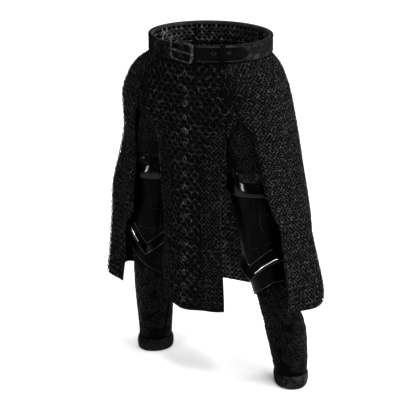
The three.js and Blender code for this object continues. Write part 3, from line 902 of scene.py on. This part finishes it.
# %% Sweep an outline along a form
def rounded(low, high, half, corner=1.2, steps=3):
    """An outline of [off, height] points: a strap's section with rounded corners."""
    turn = np.linspace(0, np.pi / 2, steps + 1)
    corner = min(corner, (high - low) / 2 - 0.05, half - 0.05)
    parts = []
    for off, height, start in ((high, half, 0), (low, half, 1), (low, -half, 2), (high, -half, 3)):
        centre = np.array([off - corner * np.sign(off - (low + high) / 2), height - corner * np.sign(height)])
        angle = turn + start * np.pi / 2
        parts.append(centre + corner * np.stack([np.cos(angle), np.sin(angle)], -1))
    return np.concatenate(parts)


def sweep(name, surface, us, outline, wraps=False):
    """outline(u) gives a closed loop of [off, height] points at each place along the sweep."""
    loops = np.array([outline(u) for u in us])
    u = np.repeat(np.asarray(us, float)[:, None], loops.shape[1], 1)
    points = lifted(surface, u, loops[..., 1], loops[..., 0])
    along, section = points.shape[:2]
    flat = points.reshape(-1, 3)
    rows = along if wraps else along - 1
    faces = []
    for i in range(rows):
        j = (i + 1) % along
        for k in range(section):
            m = (k + 1) % section
            faces.append((i * section + k, j * section + k, j * section + m, i * section + m))
    if not wraps:
        faces.append(tuple(range(section)))
        faces.append(tuple(range((along - 1) * section, along * section)))
    return mesh_object(name, flat, faces)


BELT_LOW, BELT_HIGH = 2.9, 6.9
END_LOW, END_HIGH = 7.5, 10.7
ALL_ROUND = np.linspace(0, 360, 181)[:-1]

strap = sweep("belt_leather", skirt, ALL_ROUND, lambda u: rounded(BELT_LOW, BELT_HIGH, 22), wraps=True)
hand_over(strap, STRAP_LEATHER, "strap_leather", "belt_strap")


# %% The rolled binding inside the belt's top edge
def binding_outline(u):
    outer, thick, top, tall = BELT_LOW - 0.3, 8.0, 22.0, 10.0
    angle = np.linspace(0, 2 * np.pi, 16, endpoint=False)
    off = outer - thick / 2 + signed_power(np.cos(angle), 0.7) * thick / 2
    height = top - tall / 2 + signed_power(np.sin(angle), 0.7) * tall / 2
    return np.stack([off, height], -1)


bound_edge = sweep("waist_rolled_binding", skirt, ALL_ROUND, binding_outline, wraps=True)
hand_over(bound_edge, EDGE_LEATHER, "strap_leather", "waist_binding")

# %% [markdown]
# ## The belt's free end
# The free end comes out of the buckle and runs to a point past the keeper. The strap is the same
# all along, so only its height changes: it is full until the last few degrees, then narrows.

# %% Free end, keeper and holes
BUCKLE_AT, TIP_AT = 91, 27


def end_half(u):
    """Half the free end's height at an angle: full, then narrowing to the point."""
    return 21 * min(1, 0.1 + 0.9 * max((u - TIP_AT) / 9, 0) ** 0.75)


def free_end_outline(u):
    return rounded(END_LOW, END_HIGH, end_half(u), 1.5, 4)


end_steps = np.concatenate([np.linspace(89, 37, 40), np.linspace(36, TIP_AT, 16)])
free_end = sweep("belt_free_end", skirt, end_steps, free_end_outline)
hand_over(free_end, END_LEATHER, "strap_leather", "belt_end")


def keeper_outline(u):
    reach = 23.2
    upper = [(BELT_LOW, reach + 1.4), (END_HIGH + 1.6, reach + 1.4), (END_HIGH + 2.6, reach)]
    lower = [(off, -height) for off, height in reversed(upper)]
    inside = [(BELT_LOW, -reach), (END_HIGH + 1, -reach), (END_HIGH + 1, reach), (BELT_LOW, reach)]
    return np.array(upper + lower + inside)


keeper = sweep("belt_keeper_loop", skirt, np.linspace(52, 57, 5), keeper_outline)
soften(hand_over(keeper, END_LEATHER, "strap_leather", "belt_keeper"), 0.5)


# %% A creased line just inside the free end's edge
out_and_back = np.concatenate([np.linspace(78, 37, 50), np.linspace(36, TIP_AT + 1.2, 16)])
half_height = np.array([end_half(u) - 2.2 for u in out_and_back])
crease_u = np.concatenate([out_and_back, out_and_back[::-1]])
crease_v = np.concatenate([half_height, -half_height[::-1]])
crease = ridge_object("free_end_crease", skirt, crease_u, crease_v, END_HIGH - 0.1, 0.9, 0.7)
hand_over(crease, EDGE_LEATHER, "strap_leather")
# A pale strip along the free end's top edge: a painted highlight.
top_u = np.linspace(77, 44, 40)
top_highlight_strip = ridge_object("free_end_painted_highlight", skirt, top_u, np.full(40, 19.6), END_HIGH - 0.15, 1.5, 0.6)
hand_over(top_highlight_strip, PAINTED_HIGHLIGHT_LEATHER, "strap_leather")


# %% The belt's holes
HOLES = [
    ("a", 127.0, 8.0, BELT_HIGH, 4.0),
    ("b", 110.5, 8.0, BELT_HIGH, 4.0),
    ("c", 62.5, 3.0, END_HIGH, 7.5),
    ("d", 49.0, 3.0, END_HIGH, 5.0),
]
for letter, degrees, height, off, wide in HOLES:
    hole = eyelet(f"belt_hole_{letter}", skirt, degrees, height, off, wide, 4.4, 0.9)
    hand_over(hole, HOLE_LEATHER, "strap_leather")

# %% [markdown]
# ## Stitches
# A line of stitches is one small rounded bar repeated. The bars are placed by distance along the
# strap, so the stitch length stays the same round the tight ends of the oval.

# %% Sew a line of stitches on a form
def stitches(name, surface, path, length=4.2, gap=2.6, thick=0.55):
    """path is a list of [u, v, off] points; stitches run along it."""
    u, v, off = np.asarray(path, float).T
    line = lifted(surface, u, v, off)
    run = np.concatenate([[0], np.cumsum(np.linalg.norm(np.diff(line, axis=0), axis=1))])
    starts = np.arange(gap, run[-1] - length, length + gap)
    turn = np.linspace(0, 2 * np.pi, 5, endpoint=False)
    points, quads = [], []
    for start in starts:
        spots = start + np.linspace(0, length, 4)
        su, sv, so = (np.interp(spots, run, a) for a in (u, v, off))
        middle = lifted(surface, su, sv, so + np.array([-0.3, 0.25, 0.25, -0.3]))
        heading = np.gradient(middle, axis=0)
        heading /= np.linalg.norm(heading, axis=1, keepdims=True)
        normal = directions(surface, su, sv)[1]
        across = np.cross(heading, normal)
        ring = middle[:, None] + thick * (
            np.cos(turn)[None, :, None] * across[:, None] + np.sin(turn)[None, :, None] * normal[:, None]
        )
        quads.append(np.array(grid_faces(4, 5, True)) + sum(len(p) for p in points))
        points.append(ring.reshape(-1, 3))
    return quick_mesh(name, np.concatenate(points), np.concatenate(quads))


for label, height in (("upper", 17.5), ("lower", -17.5)):
    on_belt = [(a, height, BELT_HIGH + 0.1) for a in np.linspace(104, 440, 600)]
    on_end = [(a, height, END_HIGH + 0.1) for a in np.linspace(78, 36, 90)]
    for strap_name, path in (("belt", on_belt), ("free_end", on_end)):
        seam = stitches(f"{strap_name}_stitches_{label}", skirt, path)
        hand_over(seam, RAISED_LEATHER, "strap_leather")

# %% [markdown]
# ## The buckle
# The frame is a bar bent into a rounded rectangle, thicker on the side where the strap comes
# out. It is built like a ring of wire, except that its centre line is a loop on the belt and its
# thickness changes. The prong lies over the strap and rests on the thick bar.

# %% Buckle frame and prong
BAR_OFF = END_HIGH + 3.7


def lean(u):
    return 6 + 0.57 * (u - BUCKLE_AT)


def buckle_loop(turn):
    across, up = np.cos(turn), np.sin(turn)
    corner = np.where(across > 0, 0.42, 0.22)
    u = BUCKLE_AT - 10 * signed_power(across, corner)
    return u, lean(u) + 25.5 * signed_power(up, corner)


loop_turn = np.linspace(0, 2 * np.pi, 96, endpoint=False)
loop_u, loop_v = buckle_loop(loop_turn)
centre = lifted(skirt, loop_u, loop_v, BAR_OFF)
heading = np.roll(centre, -1, axis=0) - np.roll(centre, 1, axis=0)
heading /= np.linalg.norm(heading, axis=1, keepdims=True)
outward = directions(skirt, loop_u, loop_v)[1]
across = np.cross(heading, outward)
bar = 2.6 + 1.0 * ease(np.cos(loop_turn), 0.1, 0.7)
flat = 1.0 + 0.3 * ease(np.cos(loop_turn), 0.1, 0.7)
small = np.linspace(0, 2 * np.pi, 12, endpoint=False)
frame_points = centre[:, None] + bar[:, None, None] * (
    signed_power(np.cos(small), 0.8)[None, :, None] * across[:, None] * flat[:, None, None]
    + signed_power(np.sin(small), 0.8)[None, :, None] * outward[:, None]
)
quads = np.array(grid_faces(97, 12, True)) % (96 * 12)
buckle = mesh_object("buckle_bent_frame", frame_points.reshape(-1, 3), quads.tolist())
hand_over(buckle, BUCKLE_METAL, "buckle_steel", "buckle_frame")


def prong_outline(u):
    share = min(max((BUCKLE_AT + 10.5 - u) / 22.5, 0), 1)
    thick = 2.4 - 0.7 * share
    rise = BAR_OFF + 3.9 + thick - 2.3 * math.sin(math.pi * share)
    angle = np.linspace(0, 2 * np.pi, 12, endpoint=False)
    return np.stack([rise + thick * np.cos(angle), lean(u) + thick * 1.15 * np.sin(angle)], -1)


prong = sweep("buckle_bent_prong", skirt, np.linspace(BUCKLE_AT + 10.5, BUCKLE_AT - 12, 26), prong_outline)
hand_over(prong, BUCKLE_METAL, "buckle_steel", "buckle_prong")

# %% [markdown]
# ## The leggings
# Each legging is two cuts of leather, front and back, sewn down the inner and outer sides. They
# are thin walls on the leg's form. Their top edge slants up to the hip, where a strap from the
# belt carries them.

# %% Front and back cuts of each legging
SKIN = 1.2
LEG_END = ANKLE + 40


def legging_grid(side, front, columns=22, rows=64):
    start = (-90 if front else 90) + 0.2
    angle = np.linspace(start, start + 179.6, columns)
    share = np.linspace(0, 1, rows)[:, None]
    top = leg_top(angle)[None, :]
    fade = np.clip(share / 0.25, 0, 1)
    straight = -150 + share * (LEG_END + 0.6 + 150)
    z = straight + (top + 150) * (1 - fade)
    return -side * np.repeat(angle[None, :], rows, 0), z


for name, side in SIDE.items():
    for front in (True, False):
        label = "front" if front else "back"
        u, z = legging_grid(side, front)
        cut = wall(f"legging_leather_{label}_{name}", LEG[name], u, z, -SKIN, SKIN)
        hand_over(cut, TOOLED_LEATHER, "tooled_leather", f"legging_{label}_{name}")
        wide, long, area = cut_of(LEG[name], u, z)
        print(f"legging {label} {name}: cut {wide:.3f} by {long:.3f} m")

# %% [markdown]
# ## The edges at the knees
# Every edge at a knee is a V. Its point faces a little inwards and it climbs to both sides, much
# higher on the right leg's outer side. The two legs are mirror images in all but these edges. They
# are stated here because the tooling on the leather has to stay clear of them.

# %% Where the knee edges run
KNEE = {
    "left": dict(
        tip_at=-14, rise_out=61, lame_tip=-634, low_top=-640, top_out=1.2, top_in=0.45,
        low_tip=-676, low_out=0.6, low_in=0.6,
    ),
    "right": dict(
        tip_at=-21, rise_out=92, lame_tip=-627, low_top=-624, top_out=1.6, top_in=0.5,
        low_tip=-672, low_out=1.1, low_in=0.75,
    ),
}
RISE_IN = 50
CUISSE_TOP, CUISSE_TIP = -394, -600


def knee_edge(leg, tip, angle):
    knee = KNEE[leg]
    turn = np.radians(np.minimum(np.abs(angle - knee["tip_at"]), 90))
    return tip + np.where(angle > knee["tip_at"], knee["rise_out"], RISE_IN) * np.sin(turn)


def near_tip(leg, angle, reach):
    return np.exp(-(((angle - KNEE[leg]["tip_at"]) / reach) ** 2))


def lower_top(leg, angle):
    knee = KNEE[leg]
    slope = np.where(angle > -20, knee["top_out"], knee["top_in"])
    return np.minimum(knee["low_top"] + slope * (angle + 20), knee_edge(leg, knee["lame_tip"], angle)) + 8


def lower_bottom(leg, angle):
    knee = KNEE[leg]
    outer = knee["low_out"] * np.minimum(angle + 20, 60)
    return knee["low_tip"] + np.where(angle > -20, outer, knee["low_in"] * (angle + 20))


# %% [markdown]
# ## Tooled scrolls
# The leather is covered with raised scrolls. On real leather a tool presses the ground down and
# leaves the lines standing. Here each line is a narrow half-round ridge laid on the leather. A
# scroll is a spiral that unwinds into a curl turning the other way, with short leaves beside it.

# %% One scroll as flat lines
def spiral(turns, size, start, hand, hub=0.16):
    """Points of a spiral that winds out from its centre, in millimetres."""
    t = np.linspace(0, 1, int(18 * turns))
    angle = start + hand * turns * 2 * np.pi * t
    return (size * (hub + (1 - hub) * t))[:, None] * np.stack([np.cos(angle), np.sin(angle)], -1)


def scroll_lines(chance, size, hand):
    start = chance.uniform(0, 2 * np.pi)
    turns = chance.uniform(1.5, 1.9)
    body = spiral(turns, size, start, hand)
    out_at = start + hand * turns * 2 * np.pi
    t = np.linspace(0, 1, 12)
    tail_turn = out_at + hand * t * 1.1
    tail = (size * (1 + 0.5 * t ** 1.5))[:, None] * np.stack([np.cos(tail_turn), np.sin(tail_turn)], -1)
    lines = [np.concatenate([body, tail[1:]])]
    for k in range(2):
        arc_turn = out_at + hand * (1.9 + 1.5 * k) + np.linspace(-0.55, 0.55, 10)
        reach = size * (1.28 + 0.12 * np.cos(np.linspace(-np.pi, np.pi, 10)))
        lines.append(reach[:, None] * np.stack([np.cos(arc_turn), np.sin(arc_turn)], -1))
    return lines


# %% Lay the scrolls on a legging as raised ridges
def tooled_field(name, side, chance):
    surface = LEG[name]
    points, quads, used, count = [], [], 0, 0
    z = -100
    row = 0
    while z > LEG_END:
        size = 15.5 if z > -380 else 13.0
        reach = (leg_wide(z) + leg_deep(z)) / 2
        around = round(2 * np.pi * reach / (size * 2.5))
        for k in range(around):
            angle = (k + 0.5 * (row % 2)) * 360 / around + chance.normal(0, 2) + 11
            height = z + chance.normal(0, size * 0.12)
            if chance.random() < 0.14:
                continue
            for line in scroll_lines(chance, size * chance.uniform(0.88, 1.08), 1 if (k + row) % 2 else -1):
                u = -side * (angle + np.degrees(line[:, 0] / reach))
                v = height + line[:, 1]
                keep = [bare_leather(name, -side * a, b) for a, b in zip(u, v)]
                if sum(keep) < 6 or not all(keep[keep.index(True):keep.index(True) + sum(keep)]):
                    continue
                grid = ridge(surface, u[keep], v[keep], SKIN, 1.5, 1.25)
                quads.append(np.array(grid_faces(len(grid), 5, False)) + used)
                points.append(grid.reshape(-1, 3))
                used += grid.shape[0] * 5
                count += 1
        z -= size * 2.15
        row += 1
    print(f"{name}: {count} raised lines")
    return quick_mesh(f"tooled_scrolls_{name}", np.concatenate(points), np.concatenate(quads))


def bare_leather(leg, angle, z):
    """True where the legging shows: clear of the seams, the plates, the top edge and the cuff."""
    angle = (angle + 180) % 360 - 180
    if abs(abs(angle) - 90) < 4 or z > leg_top(angle) - 8 or z < LEG_END + 5:
        return False
    return not (lower_bottom(leg, angle) - 7 < z < -345 and abs(angle) < 126)


for name, side in SIDE.items():
    scrolls = tooled_field(name, side, np.random.default_rng(21 + side))
    hand_over(scrolls, RAISED_LEATHER, "tooled_leather")

# %% [markdown]
# ## Plates on the legs
# The thigh plate, its rolled rim and the knee lames are bands round part of a leg. Each has its
# own top and bottom edge, which may climb to a point, and its own distance from the leather.
# Working them from the leg's form keeps them snug wherever the leg bends.

# %% A band round part of a leg
PLATE_LOW, PLATE_THICK = SKIN + 2.3, 1.6


def leg_band(name, leg, start, end, shares, edges, low, high, columns=90, wraps=False):
    side = SIDE[leg]
    angle = np.linspace(start, end, columns + 1)
    if wraps:
        angle = angle[:-1]
    share = np.asarray(shares, float)[:, None]
    angle = np.repeat(angle[None, :], len(shares), 0)
    top, bottom = edges(angle)
    z = top + (bottom - top) * share
    lows, highs = low(share, angle) + 0 * z, high(share, angle) + 0 * z
    return wall(name, LEG[leg], -side * angle, z, lows, highs, wraps)


def edge_bead(name, leg, start, end, height, off, radius=1.5, columns=100):
    """A half-round bead along an edge of a plate."""
    side = SIDE[leg]
    angle = np.linspace(start, end, columns)
    u, v = -side * angle, height(angle)
    middle = lifted(LEG[leg], u, v, off(angle))
    heading = np.gradient(middle, axis=0)
    heading /= np.linalg.norm(heading, axis=1, keepdims=True)
    normal = directions(LEG[leg], u, v)[1]
    across = np.cross(heading, normal)
    turn = np.linspace(0, 2 * np.pi, 8, endpoint=False)
    rows = middle[:, None] + radius * (
        np.cos(turn)[None, :, None] * across[:, None] + np.sin(turn)[None, :, None] * normal[:, None]
    )
    faces = grid_faces(columns, 8, True)
    faces += [tuple(range(8)), tuple(range((columns - 1) * 8, columns * 8))]
    return mesh_object(name, rows.reshape(-1, 3), faces)


# %% [markdown]
# The thigh plate ends in a point at the knee, and a raised bead follows that edge. The upper
# lame stands out from it like the brim of a bell, most at its point and at its outer side. A
# strip along the upper lame carries a painted highlight. The lower lame tucks under the upper one
# and slopes down towards the inner side of the knee.

# %% Thigh plates, rolled rims and knee lames
def flare(leg, share, angle):
    out = 11 * share ** 1.5 * near_tip(leg, angle, 55) + 20 * share * ease(angle, 20, 90)
    return PLATE_LOW + out + 4 * share


def rim_bulge(share):
    return 1.6 + 7.4 * ease(share, -0.25, 0.7) * ease(share, 1.06, 0.84)


# Where the painted highlight strip runs on each upper lame, in degrees round the leg.
HIGHLIGHT_LIP_SPAN = {"left": (2, 60), "right": (-2, 56)}

for leg in SIDE:
    cuisse_edge = lambda a: knee_edge(leg, CUISSE_TIP, a)
    lame_edge = lambda a: knee_edge(leg, KNEE[leg]["lame_tip"], a)
    plate = leg_band(
        f"thigh_plate_{leg}", leg, -110, 110, np.linspace(0, 1, 30),
        lambda a: (CUISSE_TOP + 0 * a, cuisse_edge(a)),
        lambda s, a: PLATE_LOW, lambda s, a: PLATE_LOW + PLATE_THICK,
    )
    soften(hand_over(plate, BLACK_PLATE, "plate_steel", f"cuisse_{leg}"), 0.5)
    # The bead is paler steel: a painted highlight along the edge.
    bead = edge_bead(
        f"thigh_plate_bead_{leg}", leg, -109, 109,
        lambda a: cuisse_edge(a) + 1.8, lambda a: PLATE_LOW + 1.5 + 0 * a,
    )
    hand_over(bead, BEAD_HIGHLIGHT_PLATE, "plate_steel")
    rim = leg_band(
        f"thigh_rolled_rim_{leg}", leg, -119, 119, np.linspace(0, 1, 19),
        lambda a: (CUISSE_TOP + 36 + 9 * near_tip(leg, a, 15), CUISSE_TOP + 0.6 + 0 * a),
        lambda s, a: PLATE_LOW, lambda s, a: PLATE_LOW + rim_bulge(s),
    )
    soften(hand_over(rim, RIM_PLATE, "plate_steel", f"cuisse_rim_{leg}"), 0.6)
    upper = leg_band(
        f"knee_upper_plate_{leg}", leg, -110, 110, np.linspace(0, 1, 12),
        lambda a: (cuisse_edge(a) - 0.6, lame_edge(a)),
        lambda s, a: flare(leg, s, a), lambda s, a: flare(leg, s, a) + PLATE_THICK,
    )
    soften(hand_over(upper, BLACK_PLATE, "plate_steel", f"knee_lame_upper_{leg}"), 0.5)
    # This bead is paler steel too: a painted highlight along the lame's edge.
    bead = edge_bead(
        f"knee_upper_bead_{leg}", leg, -109, 109,
        lambda a: lame_edge(a) + 1.6, lambda a: flare(leg, 0.97, a) + 1.5, 1.2,
    )
    hand_over(bead, BEAD_HIGHLIGHT_PLATE, "plate_steel")
    # A ridge of near-white steel on the upper lame: a painted highlight.
    angle = np.linspace(*HIGHLIGHT_LIP_SPAN[leg], 40)
    on_lame = flare(leg, 0.78, angle) + PLATE_THICK
    lip = ridge_object(
        f"knee_painted_highlight_lip_{leg}", LEG[leg], -SIDE[leg] * angle, lame_edge(angle) + 7, on_lame, 1.9, 0.9)
    hand_over(lip, LIP_HIGHLIGHT_PLATE, "plate_steel")
    lower = leg_band(
        f"knee_lower_plate_{leg}", leg, -100, 100, np.linspace(0, 1, 10),
        lambda a: (lower_top(leg, a), lower_bottom(leg, a)),
        lambda s, a: PLATE_LOW + 3 * s, lambda s, a: PLATE_LOW + 3 * s + PLATE_THICK,
    )
    soften(hand_over(lower, BLACK_PLATE, "plate_steel", f"knee_lame_lower_{leg}"), 0.5)
    # The lower lame's beads are paler steel: painted highlights.
    for label, edge, inset, off in (("top", lower_top, -1.4, 0.6), ("bottom", lower_bottom, 1.4, 4.4)):
        bead = edge_bead(
            f"knee_lower_{label}_bead_{leg}", leg, -99, 99,
            lambda a: edge(leg, a) + inset, lambda a: PLATE_LOW + off + 0 * a, 1.2,
        )
        hand_over(bead, BEAD_HIGHLIGHT_PLATE, "plate_steel")

# %% [markdown]
# ## Chased lines on the thigh plates
# The plates carry a few thin raised lines: a short bar across the shin side, an oval on the outer
# side, and a long wave above the knee. A chaser works such lines from behind with a blunt punch,
# so they stand up as low rounded ridges.

# %% Raise the lines
ON_PLATE = PLATE_LOW + PLATE_THICK - 0.05
full = np.linspace(0, 2 * np.pi, 48)
LINES = {
    "bar": (np.linspace(-60, -20, 24), -486 + 6 * np.linspace(-1, 1, 24) ** 2),
    "oval": (40 + 14 * np.cos(full), -466 + 27 * np.sin(full)),
    "wave": (np.linspace(-40, 84, 60), -531 + 17 * np.sin(np.radians(np.linspace(-110, 95, 60)))),
    "inner_wave": (np.linspace(-75, -26, 30), -560 + 26 * np.abs(np.linspace(-1, 0, 30)) ** 1.4),
}
for leg, side in SIDE.items():
    for label, (angle, z) in LINES.items():
        line = ridge_object(f"chased_{label}_{leg}", LEG[leg], -side * angle, z, ON_PLATE, 0.8, 0.55)
        hand_over(line, RIM_PLATE, "plate_steel")

# %% [markdown]
# ## Cuffs and straps
# The cuff is a padded band: full in the middle, drawn in at both edges. A narrow strap with a
# stud sits just above each rolled rim and holds the thigh plate up. The hip straps, inside the
# mail, carry the leggings from the belt.

# %% Ankle cuffs, thigh straps and hip straps
for leg, side in SIDE.items():
    cuff = leg_band(
        f"ankle_padded_cuff_{leg}", leg, 0, 360, np.linspace(0, 1, 15),
        lambda a: (LEG_END + 0 * a, ANKLE + 0 * a),
        lambda s, a: -SKIN, lambda s, a: SKIN + 1.6 + 3.8 * np.sin(np.pi * s) ** 0.6,
        columns=72, wraps=True,
    )
    soften(hand_over(cuff, CUFF_LEATHER, "strap_leather", f"ankle_cuff_{leg}"), 1.0)
    start, end = (-8, 118) if side > 0 else (-118, -4)
    thigh_strap = leg_band(
        f"thigh_strap_{leg}", leg, start, end, [0, 0.12, 0.88, 1],
        lambda a: (-326 + 0 * a, -352 + 0 * a),
        lambda s, a: SKIN + 0.2, lambda s, a: SKIN + 2.0 + 0.8 * np.sin(np.pi * s),
    )
    soften(hand_over(thigh_strap, STRAP_LEATHER, "strap_leather"), 0.5)
    tip = start if side > 0 else end
    beside_tip = -side * (tip - 3 * side)
    stud = eyelet(f"thigh_strap_stud_{leg}", LEG[leg], beside_tip, -331.0, SKIN + 0.6, 3.6, 3.6, 1.6)
    hand_over(stud, BUCKLE_METAL, "buckle_steel")
    middle = 0 if side > 0 else 180
    strap_u = np.repeat(np.linspace(middle - 5, middle + 5, 12)[None, :], 40, 0)
    strap_v = np.repeat(np.linspace(MAIL_TOP - 2, -160, 40)[:, None], 12, 1)
    hip_strap = wall(f"hip_carrying_strap_{leg}", skirt, strap_u, strap_v, -5.2, -3.2)
    soften(hand_over(hip_strap, STRAP_LEATHER, "strap_leather", f"hip_strap_{leg}"), 0.4)

# %% [markdown]
# ## Floor and light
# The floor and background are nearly white, so the dark garment reads as a clear shape. Three
# suns light it: a wide one from high on the wearer's left, a wide low one from the same side
# that runs along the mail, and a small weak one that picks out wires. Being wide, they cast no
# hard shadow. Two small windows give the polished rims their glints, and a broad light behind
# lifts the left side's outline. The room itself is dim, so that folds stay dark.

# %% Floor, room and lights
floor_mesh = bpy.data.meshes.new("floor")
reach = 12
floor_z = frame_low.z - 0.003
corners = [(x * reach, y * reach, floor_z) for x, y in ((-1, -1), (1, -1), (1, 1), (-1, 1))]
floor_mesh.from_pydata(corners, [], [(0, 1, 2, 3)])
floor = bpy.data.objects.new("floor", floor_mesh)
bpy.context.collection.objects.link(floor)
pale = bpy.data.materials.new("pale_floor")
pale.use_nodes = True
pale_shader = pale.node_tree.nodes["Principled BSDF"]
pale_shader.inputs["Base Color"].default_value = (0.9, 0.9, 0.9, 1)
pale_shader.inputs["Roughness"].default_value = 0.9
floor_mesh.materials.append(pale)
floor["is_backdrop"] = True

room = bpy.data.worlds.new("room")
room.use_nodes = True
backdrop = room.node_tree.nodes["Background"]
backdrop.inputs["Color"].default_value = (1, 1, 1, 1)
backdrop.inputs["Strength"].default_value = 0.16
bpy.context.scene.world = room
bpy.context.scene.view_settings.view_transform = "Standard"


def area_light(name, turn, height, away, size, power):
    light = bpy.data.lights.new(name, "AREA")
    light.shape = "RECTANGLE"
    light.size, light.size_y = size
    light.energy = power
    lamp = bpy.data.objects.new(name, light)
    bpy.context.collection.objects.link(lamp)
    a, e = math.radians(turn), math.radians(height)
    spot = np.array([math.sin(a) * math.cos(e), -math.cos(a) * math.cos(e), math.sin(e)]) * away
    lamp.location = (AIM[0] + spot[0], AIM[1] + spot[1], AIM[2] + spot[2])
    lamp.rotation_euler = (math.pi / 2 - e, 0, a)
    return lamp


area_light("side_window", -97, 11, 2.6, (0.25, 0.45), 5)
area_light("front_window", -17, 11, 2.6, (0.25, 0.45), 30)
area_light("long_soft_light", 122, 20, 2.8, (1.2, 2.4), 60)


def soft_sun(name, turn, height, strength, spread):
    sun = bpy.data.lights.new(name, "SUN")
    sun.energy = strength
    sun.angle = math.radians(spread)
    lamp = bpy.data.objects.new(name, sun)
    bpy.context.collection.objects.link(lamp)
    lamp.rotation_euler = (math.radians(90 - height), 0, math.radians(turn))


soft_sun("high_sun", 75, 68, 2.8, 80)
soft_sun("low_sun", 90, 10, 5.2, 40)
soft_sun("small_high_sun", 40, 60, 1.0, 9)

# %% [markdown]
# ## Check the size
# The look must not change the object's size.

# %% Print how much the box grew
visual_low, visual_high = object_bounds()
grown = (visual_high - visual_low) - (frame_high - frame_low)
print("box grew by, in mm:", [round(float(g) * 1000, 1) for g in grown])
